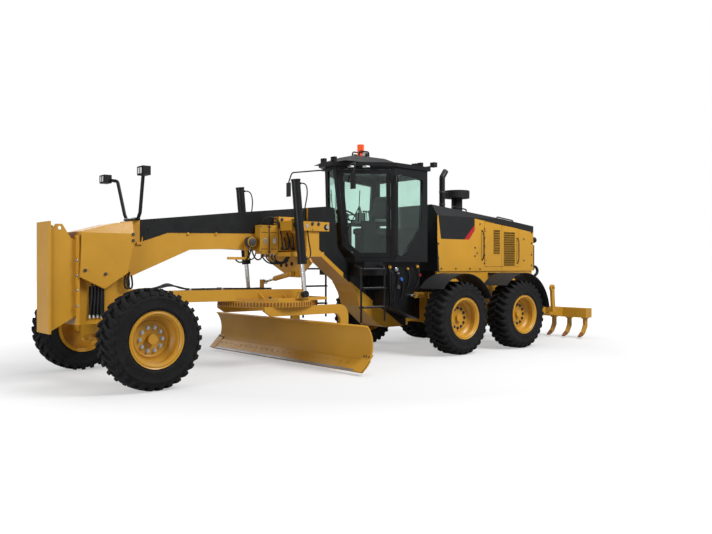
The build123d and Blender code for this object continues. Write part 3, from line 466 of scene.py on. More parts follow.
def lug_pattern():
    """One tread lug, from the middle of the tread out over the shoulder."""
    bm = bmesh.new()
    rings = []
    for y, back, half, top, base in LUG_SECTIONS:
        ring = []
        for sign, radius in ((-1, base), (-1, top), (1, top), (1, base)):
            narrow = 0.76 if radius == top else 0.96
            angle = radians(back) + sign * narrow * half / radius
            ring.append(bm.verts.new((radius * sin(angle), y, radius * cos(angle))))
        rings.append([bm.edges.new((a, b)) for a, b in zip(ring, ring[1:] + ring[:1])])
    for one, other in zip(rings, rings[1:]):
        bmesh.ops.bridge_loops(bm, edges=one + other)
    bmesh.ops.contextual_create(bm, geom=rings[0])
    bmesh.ops.contextual_create(bm, geom=rings[-1])
    bmesh.ops.bevel(bm, geom=list(bm.edges), affect="EDGES", offset=0.004, segments=1, profile=0.5,
                    material=-1)
    return pattern(bm, "lug")


def tyre_pattern():
    """A wide earthmover tyre round the origin, its tread of paired slanting lugs."""
    bm = bmesh.new()
    outline = TYRE_OUTLINE + [(r, -y) for r, y in reversed(TYRE_OUTLINE[:-1])]
    turned(bm, outline, "Y", (0, 0, 0), 72)
    lug = lug_pattern()
    for index in range(LUGS):
        turn = Matrix.Rotation(2 * pi * index / LUGS, 4, "Y")
        stamp(bm, lug, turn)
        offset = Matrix.Rotation(pi / LUGS, 4, "Y") @ Matrix.Diagonal((1, -1, 1, 1))
        stamp(bm, lug, turn @ offset)
    return pattern(bm, "tyre_shape")


def rim_rings():
    """Lock ring, bead seat step and hub step of a rim."""
    bm = bmesh.new()
    for outline in RIM_RINGS:
        turned(bm, outline, "Y", (0, 0, 0), 64)
    return pattern(bm, "rim_ring_shape")


def wheel_place(x, side):
    """Where a wheel goes, its outer face away from the machine."""
    place = Matrix.Translation((x, side * TRACK, TYRE_R))
    return place if side > 0 else place @ Matrix.Rotation(pi, 4, "Z")


def wheels():
    """Tyre with lugs, nuts and hub of each wheel."""
    tyre_mesh = tyre_pattern()
    nut = bolt_pattern("wheel_nut", 0.034, 0.030)
    rings = rim_rings()
    for axle, x in WHEELS:
        for side_word, side in SIDES:
            body = f"wheel_{axle}_{side_word}"
            place = wheel_place(x, side)
            bm = bmesh.new()
            stamp(bm, tyre_mesh, place)
            tyre = piece(bm, f"tread_{axle}_{side_word}", body, rubber, smooth=True)
            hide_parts(f"tyre_{axle}_{side_word}")
            bm = bmesh.new()
            count, reach = (10, 0.150) if axle == "front" else (12, 0.175)
            for index in range(count):
                angle = 2 * pi * index / count
                spot = Matrix.Translation((reach * cos(angle), 0.0235, reach * sin(angle)))
                stamp(bm, nut, place @ spot @ aim((0, 1, 0)))
            piece(bm, f"wheel_nuts_{axle}_{side_word}", body, zinc if axle == "front" else iron)
            bm = bmesh.new()
            stamp(bm, rings, place)
            piece(bm, f"rim_rings_{axle}_{side_word}", body, yellow, smooth=True)


wheels()


# Front frame: faces and places that its trim seats on

MOUNT_X = 5.085             # push plate's mount
NOSE_HALF = 0.300
LAMP_FACE = 4.3995          # x of the stalk lamps' faces
BEAM_HALF = 0.1495
SADDLE_HALF = 0.300
VALVE_SIDE = 0.2995
ARM_END = 0.677             # y where the trunnion arms end
LINK_FACE = 1.6245          # x of the link plate's face
DRUM_AT = (2.430, 0, 1.921)
TRUNNION = (1.908, 0.800, 2.180)
LIFT_EYE = (1.805, 0.800, 1.120)
LIFT_UP = (Vector(TRUNNION) - Vector(LIFT_EYE)).normalized()
BARREL_LOW, BARREL_HIGH = -0.600, 0.700     # lift barrel's ends from its trunnion
TONGUE_TOP = 1.190
TABLE_TOP = 1.0595
CIRCLE_X = 1.945
TEETH = 96
TOOTH = [(0.7885, -0.013), (0.7885, 0.013), (0.800, 0.008), (0.800, -0.008)]    # from the circle's centre
EDGE_LOW, EDGE_HIGH = Vector((1.799, 0, 0.060)), Vector((1.652, 0, 0.214))      # cutting edge's face
EDGE_BOLTS = 26


def nose_details():
    """Bolts on the nose and the push plate's mount, stalk lamp faces and the axle's hoses."""
    head = bolt_pattern("frame_bolt", 0.030, 0.022)
    small = bolt_pattern("small_bolt", 0.020, 0.014)
    places = on_sides([(5.000, 1.495), (4.727, 1.446), (4.340, 1.985), (4.340, 1.900)], NOSE_HALF)
    bolts("nose_bolts", FRONT, iron, head, places)
    places = [((MOUNT_X, y, z), (1, 0, 0)) for z in (1.03, 1.235, 1.43, 1.625) for y in (-0.252, 0.252)]
    bolts("mount_bolts", FRONT, zinc, head, places)
    caps = [((x, y, 2.216), (0, 0, 1)) for x in (4.205, 4.255) for y in (-0.16, -0.09, 0.09, 0.16)]
    bolts("lamp_bolts", FRONT, zinc, small, caps)
    bm = bmesh.new()
    box_pair(bm, (LAMP_FACE, 4.404), (0.582, 0.718), (2.780, 2.860))
    piece(bm, "front_lamp_faces", FRONT, lamp_white, edge=0.002)
    bm = bmesh.new()
    for y in (0.577, 0.650, 0.723):
        box_pair(bm, (LAMP_FACE, 4.409), (y - 0.005, y + 0.005), (2.772, 2.868))
    for z in (2.7745, 2.8655):
        box_pair(bm, (LAMP_FACE, 4.409), (0.572, 0.728), (z - 0.005, z + 0.005))
    piece(bm, "front_lamp_rims", FRONT, plastic)

    routes = []
    for y in (-0.10, -0.06, 0.07, 0.11):
        routes.append([(4.44, y, 1.42), (4.40, y * 1.4, 1.20), (4.37, y * 1.9, 0.98), (4.42, y * 2.6, 0.86),
                       (4.455, y * 3.2, 0.79)])
    for i in range(4):
        x = 4.885 - 0.045 * i
        routes.append([(x, 0.232, 1.335), (x - 0.004, 0.226, 1.16), (x + 0.012, 0.222, 1.00),
                       (x + 0.022 - 0.008 * i, 0.210, 0.86)])
    for i in range(2):
        x = 4.420 - 0.045 * i
        routes.append([(x, 0.255, 1.47), (x + 0.03, 0.262, 1.38), (x + 0.035, 0.262, 1.27),
                       (x - 0.02, 0.262, 1.235), (x - 0.05, 0.25, 1.30), (x - 0.05, 0.20, 1.42)])
    hoses("axle_hoses", FRONT, hose_rubber, 0.013, routes)
    bm = bmesh.new()
    for route in routes[:8]:
        end = Vector(route[-1])
        bar(bm, end + Vector((0.0, 0, 0.045)), end, 0.017, 6)
    piece(bm, "axle_hose_ends", FRONT, zinc)
    # A thin black sheet on both sides of the block under the nose: painted shade for the dark gap behind the
    # axle hoses.
    bm = bmesh.new()
    box_pair(bm, (4.700, 4.910), (0.1895, 0.194), (0.88, 1.285))
    piece(bm, "shade_sheet_behind_hoses", FRONT, plastic, edge=0.001)


def beam_details():
    """Small bolts and fittings where the beam's black cover ends."""
    small = bolt_pattern("cover_bolt", 0.018, 0.010)
    places = on_sides([(4.05, 2.075), (3.50, 2.095), (2.962, 2.114), (2.454, 2.124)], 0.1563)
    bolts("cover_bolts", FRONT, plastic, small, places)
    bm = bmesh.new()
    for x, z in ((3.439, 2.020), (2.976, 2.032)):
        bar_pair(bm, (x, BEAM_HALF, z), (x, 0.172, z), 0.017, 12)
        bar_pair(bm, (x, BEAM_HALF, z), (x, 0.160, z), 0.026, 6)
    box_pair(bm, (4.150, 4.235), (BEAM_HALF, 0.175), (1.850, 1.885))
    bar_pair(bm, (4.165, 0.162, 1.86), (4.150, 0.162, 1.955), 0.012, 10)
    piece(bm, "beam_fittings", FRONT, yellow, edge=0.002)


def saddle_details():
    """Bolts, valve faces, hoses and cylinder ends round the saddle, with black pieces of painted shade
    between the valve boxes and over the link plate's holes.
    """
    head = bolt_pattern("saddle_bolt", 0.036, 0.024)
    small = bolt_pattern("valve_bolt", 0.014, 0.008)
    places = on_sides([(x, z) for x in (1.66, 1.88) for z in (1.83, 2.285)], SADDLE_HALF)
    places += on_sides([(1.44, 2.215), (1.56, 2.215)], ARM_END)
    bolts("saddle_bolts", FRONT, iron, head, places)
    places = [((x, SADDLE_HALF, z), (0, 1, 0)) for x in (1.975, 2.10, 2.145, 2.27) for z in (1.77, 2.16)]
    bolts("valve_bolts", FRONT, iron, small, places)
    bm = bmesh.new()
    for x in (2.022, 2.196):
        box(bm, (x - 0.026, x + 0.026), (VALVE_SIDE, 0.304), (1.905, 1.985))
    piece(bm, "valve_faces", FRONT, silver, edge=0.002)
    bm = bmesh.new()
    # The upright black strip fills the gap between the two valve boxes as painted shade; the thin level
    # strips are joints across the boxes.
    box(bm, (2.1125, 2.1315), (0.286, 0.3015), (1.742, 2.186))
    for x in (2.037, 2.207):
        for z in (1.812, 2.070):
            box(bm, (x - 0.062, x + 0.062), (VALVE_SIDE, 0.302), (z, z + 0.008))
    piece(bm, "valve_joints_and_gap_shade", FRONT, plastic)
    bm = bmesh.new()
    turned(bm, [(0.0, 0.300), (0.060, 0.300), (0.060, 0.318), (0.045, 0.326), (0.0, 0.326)], "Y",
           DRUM_AT, 28, closed=False)
    turned(bm, [(0.0755, 0.190), (0.082, 0.192), (0.082, 0.285), (0.0755, 0.287)], "Y", DRUM_AT, 28)
    piece(bm, "drum_cap", FRONT, iron, smooth=True)
    # Black discs on the link plate's face: painted shade standing in for its dark holes.
    bm = bmesh.new()
    for y, z in ((-0.089, 1.567), (0.060, 1.567), (0.211, 1.587), (0.399, 1.623)):
        turned(bm, [(0.0, LINK_FACE), (0.033, LINK_FACE), (0.033, 1.632), (0.0, 1.632)], "X", (0, y, z), 20,
               closed=False)
    piece(bm, "link_hole_shade", FRONT, plastic, edge=0.001)
    routes = []
    for i, x in enumerate((1.99, 2.05, 2.15, 2.22)):
        routes.append([(x, 0.24, 1.741), (x, 0.25, 1.68), (x - 0.03 - 0.03 * i, 0.28, 1.62 - 0.015 * i),
                       (1.90 - 0.02 * i, 0.33 + 0.02 * i, 1.60), (1.87, 0.38 + 0.02 * i, 1.66),
                       (1.86, 0.42 + 0.02 * i, 1.702)])
    routes.append([(2.43, 0.26, 1.847), (2.43, 0.30, 1.75), (2.36, 0.30, 1.64), (2.24, 0.27, 1.66),
                   (2.22, 0.26, 1.741)])
    routes.append([(2.40, 0.22, 1.849), (2.42, 0.22, 1.70), (2.52, 0.20, 1.62), (2.62, 0.20, 1.60),
                   (2.66, 0.19, 1.651)])
    routes.append([(2.24, 0.24, 2.186), (2.22, 0.24, 2.27), (2.08, 0.27, 2.33), (1.97, 0.31, 2.28),
                   (1.925, 0.325, 2.16), (1.90, 0.30, 2.05)])
    routes.append([(2.04, 0.26, 2.186), (2.03, 0.27, 2.26), (1.95, 0.32, 2.22), (1.91, 0.34, 2.00),
                   (1.90, 0.34, 1.84), (1.86, 0.36, 1.79), (1.80, 0.32, 1.84)])
    for i in range(2):
        x = 1.84 - 0.09 * i
        routes.append([(x, 0.299, 2.00), (x + 0.005, 0.335, 1.96), (x, 0.345, 1.86), (x - 0.03, 0.355, 1.80),
                       (x - 0.065, 0.345, 1.86), (x - 0.06, 0.335, 2.02), (x - 0.055, 0.299, 2.08)])
    hoses("valve_hoses", FRONT, hose_rubber, 0.0115, routes)
    bm = bmesh.new()
    for route in routes[:6]:
        start = Vector(route[0])
        bar(bm, start + Vector((0, 0, 0.004)), start - Vector((0, 0, 0.035)), 0.015, 6)
    piece(bm, "valve_hose_ends", FRONT, zinc)
    bm = bmesh.new()
    bar_pair(bm, (1.285, ARM_END, 2.168), (1.285, 0.684, 2.168), 0.046, 28)
    bar_pair(bm, (1.560, ARM_END, 2.120), (1.560, 0.682, 2.120), 0.010, 12)
    piece(bm, "arm_pin_rings", FRONT, plastic, edge=0.002, smooth=True)
    bm = bmesh.new()
    bar_pair(bm, (1.275, ARM_END, 2.170), (1.275, 0.700, 2.170), 0.029, 24)
    box_pair(bm, (1.640, 1.680), (0.6765, 0.679), (2.150, 2.205))
    piece(bm, "arm_pins", FRONT, silver, edge=0.002, smooth=True)


def cylinder_details():
    """Caps, ports and hoses of the lift barrels, and the bushes of their rods' eyes."""
    for word, side in SIDES:
        pivot = Vector((TRUNNION[0], side * TRUNNION[1], TRUNNION[2]))
        low, high = pivot + LIFT_UP * BARREL_LOW, pivot + LIFT_UP * BARREL_HIGH
        bm = bmesh.new()
        bar(bm, high - LIFT_UP * 0.030, high, 0.0735, 28)
        bar(bm, low, low + LIFT_UP * 0.055, 0.0745, 28)
        ports = [low + LIFT_UP * way for way in (1.24, 0.08)]
        for spot in ports:
            bar(bm, spot, spot + Vector((-0.092, 0, 0)), 0.020, 8)
        piece(bm, f"lift_caps_{word}", f"lift_barrel_{word}", black, edge=0.003, smooth=True)
        top, bottom = (spot + Vector((-0.09, 0, 0)) for spot in ports)
        hoses(f"lift_hoses_{word}", f"lift_barrel_{word}", hose_rubber, 0.010, [
            [top, top + Vector((-0.10, 0, 0.02)), top + Vector((-0.15, -side * 0.02, -0.14)),
             top + Vector((-0.11, -side * 0.04, -0.36)), top + Vector((-0.075, -side * 0.05, -0.60))],
            [bottom, bottom + Vector((-0.06, 0, 0.0)), bottom + Vector((-0.10, -side * 0.02, 0.10)),
             bottom + Vector((-0.07, -side * 0.04, 0.28)), bottom + Vector((-0.055, -side * 0.05, 0.44))],
        ])
        bm = bmesh.new()
        eye = Vector((LIFT_EYE[0], side * LIFT_EYE[1], LIFT_EYE[2]))
        bar(bm, eye - Vector((0, side * 0.030, 0)), eye + Vector((0, side * 0.046, 0)), 0.0535, 24)
        piece(bm, f"lift_boot_{word}", f"lift_rod_{word}", hose_rubber, edge=0.002, smooth=True)


def draft_details():
    """Hoses with clamps on the drawbar, its bolts and gussets, and the circle's teeth."""
    top = TONGUE_TOP
    routes = []
    for i in range(4):
        y = -0.045 + 0.03 * i
        routes.append([(3.96, y, top + 0.03), (3.82, y, top + 0.05), (3.68, y, top + 0.115 - 0.012 * i),
                       (3.54, y, top + 0.06), (3.40, y, top + 0.016), (2.95, y, top + 0.016),
                       (2.66, y + 0.02, top + 0.016), (2.55, y * 2 + 0.10, top + 0.012),
                       (2.35, y + 0.22, top + 0.014), (2.12, y * 0.6 + 0.335, top + 0.014)])
    hoses("drawbar_hoses", "drawbar", hose_rubber, 0.012, routes)
    bm = bmesh.new()
    for x in (3.36, 2.82):
        box(bm, (x - 0.016, x + 0.016), (-0.072, 0.072), (top - 0.001, top + 0.036))
    piece(bm, "hose_clamps", "drawbar", zinc, edge=0.003)
    head = bolt_pattern("circle_bolt", 0.036, 0.028)
    places = []
    for angle in range(20, 360, 40):
        x, y = CIRCLE_X + 0.735 * cos(radians(angle)), 0.735 * sin(radians(angle))
        if x > 1.66 and 0.25 < abs(y) < 0.70:
            places.append(((x, y * 0.96, 1.060), (0, 0, 1)))
    places += [((3.05, y, top), (0, 0, 1)) for y in (-0.11, 0.11)]
    bolts("drawbar_bolts", "drawbar", iron, head, places)
    bm = bmesh.new()
    for side in (-1, 1):
        for x in (1.99, 2.40):
            corners = [(x, side * 0.62, TABLE_TOP), (x, side * 0.44, TABLE_TOP), (x, side * 0.44, 1.155)]
            plate(bm, corners, (0.022, 0, 0))
    piece(bm, "drawbar_gussets", "drawbar", yellow, edge=0.004)
    bm = bmesh.new()
    for i in range(TEETH):
        turn = Matrix.Translation((CIRCLE_X, 0, 0.935)) @ Matrix.Rotation(2 * pi * i / TEETH, 4, "Z")
        plate(bm, [turn @ Vector((*corner, 0)) for corner in TOOTH], (0, 0, 0.062))
    piece(bm, "circle_teeth", "circle", worn_iron)


def blade_details():
    """Bright lower face of the cutting edge, its bolts, and the end bits with theirs."""
    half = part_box("blade")[1][1]
    along = (EDGE_HIGH - EDGE_LOW).normalized()
    out = Vector((along.z, 0, -along.x))
    bm = bmesh.new()
    foot = EDGE_LOW + along * 0.032
    corners = [EDGE_LOW + out * 0.001, foot + out * 0.001, foot + out * 0.004,
               EDGE_LOW + out * 0.004 + along * 0.002]
    plate(bm, [Vector((p.x, -half, p.z)) for p in corners], (0, 2 * half, 0))
    piece(bm, "cutting_edge_face", "blade", edge_steel)
    bm = bmesh.new()
    corners = [EDGE_LOW + out * 0.007, EDGE_HIGH + out * 0.007 + along * 0.10,
               EDGE_HIGH - out * 0.012 + along * 0.10, EDGE_LOW - out * 0.010]
    for y in (-half, half - 0.19):
        plate(bm, [Vector((p.x, y, p.z)) for p in corners], (0, 0.19, 0))
    piece(bm, "end_bits", "blade", yellow, edge=0.003)
    head = bolt_pattern("plough_bolt", 0.024, 0.004)
    spot = EDGE_LOW.lerp(EDGE_HIGH, 0.66) + out * 0.005
    gap = (2 * half - 0.20) / (EDGE_BOLTS - 1)
    places = [((spot.x, -half + 0.10 + i * gap, spot.z), out) for i in range(EDGE_BOLTS)]
    bolts("edge_bolts", "blade", yellow, head, places)
    bm = bmesh.new()
    spot = EDGE_HIGH + along * 0.05 + out * 0.008
    for i in range(3):
        y = half - 0.04 - 0.055 * i
        bar_pair(bm, (spot.x, y, spot.z), (spot.x + out.x * 0.01, y, spot.z + out.z * 0.01), 0.013, 12)
    piece(bm, "end_bit_bolts", "blade", iron)


nose_details()
beam_details()
saddle_details()
cylinder_details()
draft_details()
blade_details()


# Cab

ROOF_LAMP_Z = 3.367
TANK_SIDE = 0.640
SWELL = 0.014               # how far a cushion may swell
SEAM_HALF, SEAM_DEPTH = 0.022, 0.010
CAB_CORNER = Vector((-0.150, 0.750, 0))
DOOR_WAY = Vector((0.72, -0.53, 0)).normalized()
DOOR_OUT = Vector((0.53, 0.72, 0)).normalized()


def on_door(along, out, z):
    """A place on the left door's plane."""
    spot = CAB_CORNER + DOOR_WAY * along + DOOR_OUT * out
    return Vector((spot.x, spot.y, z))


def cab_details():
    """Door handles, wipers, grab rails, mirror glasses, roof lamps and ladder treads."""
    for word, side in SIDES:
        def at(along, out, z):
            """A place on this side's door plane."""
            spot = on_door(along, out, z)
            return (spot.x, side * spot.y, spot.z)
        hoses(f"door_handle_{word}", f"door_{word}", black, 0.011, [
            [at(0.13, 0.0, 2.02), at(0.13, 0.055, 2.05), at(0.13, 0.055, 2.30), at(0.13, 0.055, 2.55),
             at(0.13, 0.0, 2.58)]])
        bm = bmesh.new()
        bar(bm, at(0.86, 0.0, 2.06), at(0.86, 0.028, 2.06), 0.026, 16)
        bar(bm, at(0.86, 0.018, 2.06), at(0.62, 0.020, 2.55), 0.008, 8)
        bar(bm, at(0.63, 0.014, 2.30), at(0.60, 0.014, 2.84), 0.007, 8)
        piece(bm, f"side_wiper_{word}", f"door_{word}", plastic)
        hoses(f"cab_rail_{word}", FRONT, black, 0.014, [
            [at(-0.02, 0.0, 1.70), at(-0.02, 0.075, 1.72), at(-0.02, 0.080, 2.30), at(-0.02, 0.080, 3.06),
             at(-0.02, 0.0, 3.10)]])
        bm = bmesh.new()
        box(bm, (0.8945, 0.8962), sorted((side * 0.844, side * 0.942)), (2.797, 3.033))
        piece(bm, f"mirror_glass_{word}", FRONT, mirror)
    bm = bmesh.new()
    bar(bm, (0.570, 0.06, 1.925), (0.598, 0.06, 1.925), 0.026, 16)
    bar(bm, (0.588, 0.06, 1.93), (0.630, 0.02, 2.45), 0.008, 8)
    bar(bm, (0.612, 0.03, 2.20), (0.650, 0.0, 2.86), 0.007, 8)
    piece(bm, "screen_wiper", FRONT, plastic)
    bm = bmesh.new()
    for x, y, way in ((-0.991, 0.42, -1), (-0.991, 0.56, -1), (0.731, 0.14, 1)):
        bar_pair(bm, (x - way * 0.001, y, ROOF_LAMP_Z), (x + way * 0.006, y, ROOF_LAMP_Z), 0.036, 24)
    piece(bm, "roof_lamp_glass", FRONT, clear, smooth=True)
    bm = bmesh.new()
    for x, y in ((0.50, 0.36), (0.30, 0.52)):
        box_pair(bm, (x - 0.04, x + 0.04), (y - 0.05, y + 0.05), (3.225, 3.2499))
    piece(bm, "roof_lamp_low", FRONT, lamp_white, edge=0.004)
    bm = bmesh.new()
    for z in (0.864, 1.180, 1.496):
        for i in range(9):
            x = 0.19 + i * 0.052
            box_pair(bm, (x, x + 0.022), (0.748, 0.852), (z + 0.0118, z + 0.018))
    piece(bm, "tread_grips", FRONT, zinc)
    bm = bmesh.new()
    bar_pair(bm, (-0.05, 0.14, 3.512), (0.022, 0.14, 3.512), 0.042, 24)
    bar_pair(bm, (-0.02, 0.14, 3.468), (-0.02, 0.14, 3.50), 0.012, 12)
    box_pair(bm, (-1.215, -1.125), (0.645, 0.745), (3.335, 3.420))
    bar_pair(bm, (-1.15, 0.66, 3.35), (-0.975, 0.56, 3.315), 0.014, 12)
    piece(bm, "roof_lamp_shells", FRONT, plastic, edge=0.004)
    bm = bmesh.new()
    bar_pair(bm, (0.0215, 0.14, 3.512), (0.026, 0.14, 3.512), 0.036, 24)
    piece(bm, "roof_lamp_faces", FRONT, lamp_white)
    service_details()


def service_details():
    """Caps, ports, hoses and the hitch's side cylinder on the black housings under the cab."""
    ports = [  # x, z, radius, finish, name
        (-0.130, 1.533, 0.026, yellow, "port_a"), (-0.800, 1.540, 0.024, yellow, "port_b"),
        (-0.560, 1.500, 0.018, yellow, "port_c"), (-0.288, 1.489, 0.030, zinc, "port_d"),
        (-0.324, 1.420, 0.020, zinc, "port_e"), (-0.404, 1.317, 0.028, blue, "port_f"),
        (-0.855, 1.388, 0.024, red, "port_g"), (-0.330, 1.180, 0.034, iron, "port_h"),
    ]
    for x, z, radius, mat, name in ports:
        bm = bmesh.new()
        bar_pair(bm, (x, TANK_SIDE, z), (x, 0.668, z), radius, 20)
        bar_pair(bm, (x, TANK_SIDE, z), (x, 0.650, z), radius * 1.35, 6)
        piece(bm, name, FRONT, mat, edge=0.003)
    routes = []
    for i in range(3):
        x = -0.120 - 0.040 * i
        routes.append([(x, 0.638, 1.50 - 0.02 * i), (x - 0.01, 0.668, 1.46), (x + 0.008, 0.668, 1.25),
                       (x - 0.022, 0.668, 1.02), (x - 0.01, 0.665, 0.86 + 0.03 * i),
                       (x - 0.03, 0.638, 0.80 + 0.03 * i)])
    for i, (x, z) in enumerate(((-0.288, 1.489), (-0.404, 1.317), (-0.560, 1.500), (-0.800, 1.540))):
        routes.append([(x - 0.02, 0.650, z - 0.02), (x - 0.04, 0.668, z - 0.10), (x - 0.01, 0.668, z - 0.26),
                       (x + 0.03, 0.664, z - 0.34), (x + 0.05, 0.638, z - 0.38)])
    hoses("service_hoses", FRONT, hose_rubber, 0.012, both_hands(routes))
    bm = bmesh.new()
    bar_pair(bm, (-0.70, 0.700, 1.035), (-0.885, 0.700, 1.035), 0.050, 28)
    bar_pair(bm, (-0.695, 0.700, 1.035), (-0.715, 0.700, 1.035), 0.056, 28)
    box_pair(bm, (-0.88, -0.75), (0.638, 0.70), (1.00, 1.07))
    piece(bm, "side_cylinder", FRONT, yellow, edge=0.004, smooth=True)
    bm = bmesh.new()
    bar_pair(bm, (-0.60, 0.700, 1.035), (-0.70, 0.700, 1.035), 0.022, 20)
    bar_pair(bm, (-0.60, 0.640, 1.035), (-0.60, 0.712, 1.035), 0.020, 20)
    piece(bm, "side_cylinder_rod", FRONT, chrome, edge=0.002, smooth=True)


def cab_inside():
    """Steering wheel, control pods, levers and dash face."""
    hub = Vector((0.30, 0, 2.44))
    tilt = Matrix.Translation(hub) @ Matrix.Rotation(radians(-28), 4, "Y")
    bm = bmesh.new()
    grip = [(0.19 + 0.015 * cos(2 * pi * i / 10), 0.015 * sin(2 * pi * i / 10)) for i in range(10)]
    turned(bm, grip, "Z", (0, 0, 0), 36)
    for angle in (90, 210, 330):
        way = Vector((cos(radians(angle)), sin(radians(angle)), 0))
        bar(bm, way * 0.02, way * 0.185, 0.011, 10)
    bar(bm, (0, 0, -0.03), (0, 0, 0.02), 0.045, 20)
    bar(bm, (0, 0, -0.20), (0, 0, -0.02), 0.028, 16)
    bmesh.ops.transform(bm, matrix=tilt, verts=bm.verts)
    piece(bm, "steering_wheel", FRONT, plastic, smooth=True)
    bm = bmesh.new()
    for i in range(4):
        x = 0.055 * i
        bar_pair(bm, (x, 0.328, 2.329), (x + 0.02, 0.328, 2.47), 0.006, 8)
        for y in (-0.328, 0.328):
            ball(bm, (x + 0.022, y, 2.49), 0.020)
    box_pair(bm, (-0.30, -0.02), (0.27, 0.37), (2.27, 2.33))
    piece(bm, "levers", FRONT, plastic, edge=0.004, smooth=True)
    bm = bmesh.new()
    box_pair(bm, (0.105, 0.300), (0.285, 0.225), (2.29, 2.47))
    bar_pair(bm, (0.20, 0.255, 2.46), (0.23, 0.255, 2.58), 0.030, 16, 0.020)
    box_pair(bm, (-0.46, -0.10), (0.300, 0.365), (2.3305, 2.375))
    box(bm, (0.385, 0.415), (-0.10, 0.10), (2.299, 2.38))
    piece(bm, "dash_face", FRONT, grey, edge=0.006)


def stuffed(name, centre, size, turn, seams):
    """A cushion, swelled by cloth simulation, with sewn channels across it."""
    place = Matrix.Translation(centre) @ Matrix.Rotation(radians(turn), 4, "Y")
    bm = bmesh.new()
    bmesh.ops.create_cube(bm, size=1.0)
    bmesh.ops.subdivide_edges(bm, edges=bm.edges, cuts=17, use_grid_fill=True)
    for vert in bm.verts:
        x, y, z = vert.co * 2
        narrow = 1 - 0.05 * (abs(x) ** 6 + abs(y) ** 6 + abs(z) ** 6) / 3
        vert.co *= narrow
    bmesh.ops.transform(bm, matrix=place @ Matrix.Diagonal((*size, 1)), verts=bm.verts)
    obj = piece(bm, name, FRONT, cloth, smooth=True)
    soft = obj.modifiers.new("stuffing", "CLOTH")
    soft.settings.use_pressure = True
    soft.settings.uniform_pressure_force = 4.0
    soft.settings.quality = 6
    soft.settings.effector_weights.gravity = 0.0
    soft.point_cache.frame_end = 20
    for step in range(1, 21):
        scene.frame_set(step)
    shaped = obj.evaluated_get(bpy.context.evaluated_depsgraph_get()).data
    moved = [vert.co.copy() for vert in shaped.vertices]
    obj.modifiers.remove(soft)
    for vert, end in zip(obj.data.vertices, moved):
        step = end - vert.co
        if step.length > SWELL:
            step *= SWELL / step.length
        vert.co += step
    scene.frame_set(1)
    thick, run = (0, 2) if turn else (2, 0)
    out = place.to_3x3().col[thick]
    back = place.inverted()
    for vert in obj.data.vertices:
        flat = back @ vert.co
        if abs(flat[thick]) > 0.3 * size[thick]:
            for seam in seams:
                near = abs(flat[run] - seam) / SEAM_HALF
                if near < 1:
                    vert.co -= out * copysign(SEAM_DEPTH * (1 - near * near) ** 2, flat[thick])
    smoother = obj.modifiers.new("smoother", "SUBSURF")
    smoother.levels = 1
    smoother.render_levels = 1
    return obj


def seat():
    """Padded cushion and back on the seat's base."""
    cushion = stuffed("seat_cushion", (-0.26, 0, 2.168), (0.485, 0.485, 0.098), 0.0, (-0.12, 0.0, 0.12))
    stuffed("seat_back", (-0.520, 0, 2.54), (0.096, 0.445, 0.575), -11.0, (-0.16, 0.0, 0.16))
    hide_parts("seat")


cab_details()
cab_inside()
seat()


# Rear body

HOOD_HALF = 0.620
LID_SIDE = 0.6195           # y where trim starts, just inside the hood's face
REAR_TRIM = -4.2545
LAMP_REAR = -4.2945
STACK_AT = (-1.765, 0.350, 0)
CLEANER_AT = (-2.572, 0, 0)
CLEANER_R = 0.2475
HOOD_BOLTS = [  # x, heights
    (-4.19, (1.56, 1.78, 2.02, 2.24)), (-3.93, (1.66, 2.10)), (-2.68, (1.60, 1.76, 1.93, 2.10, 2.27)),
    (-2.545, (1.49, 2.36)), (-2.46, (1.80,)), (-2.40, (1.74, 1.90)), (-2.25, (1.50,)), (-1.85, (1.50,)),
    (-1.45, (1.50,)), (-1.375, (1.70, 1.96)),
]


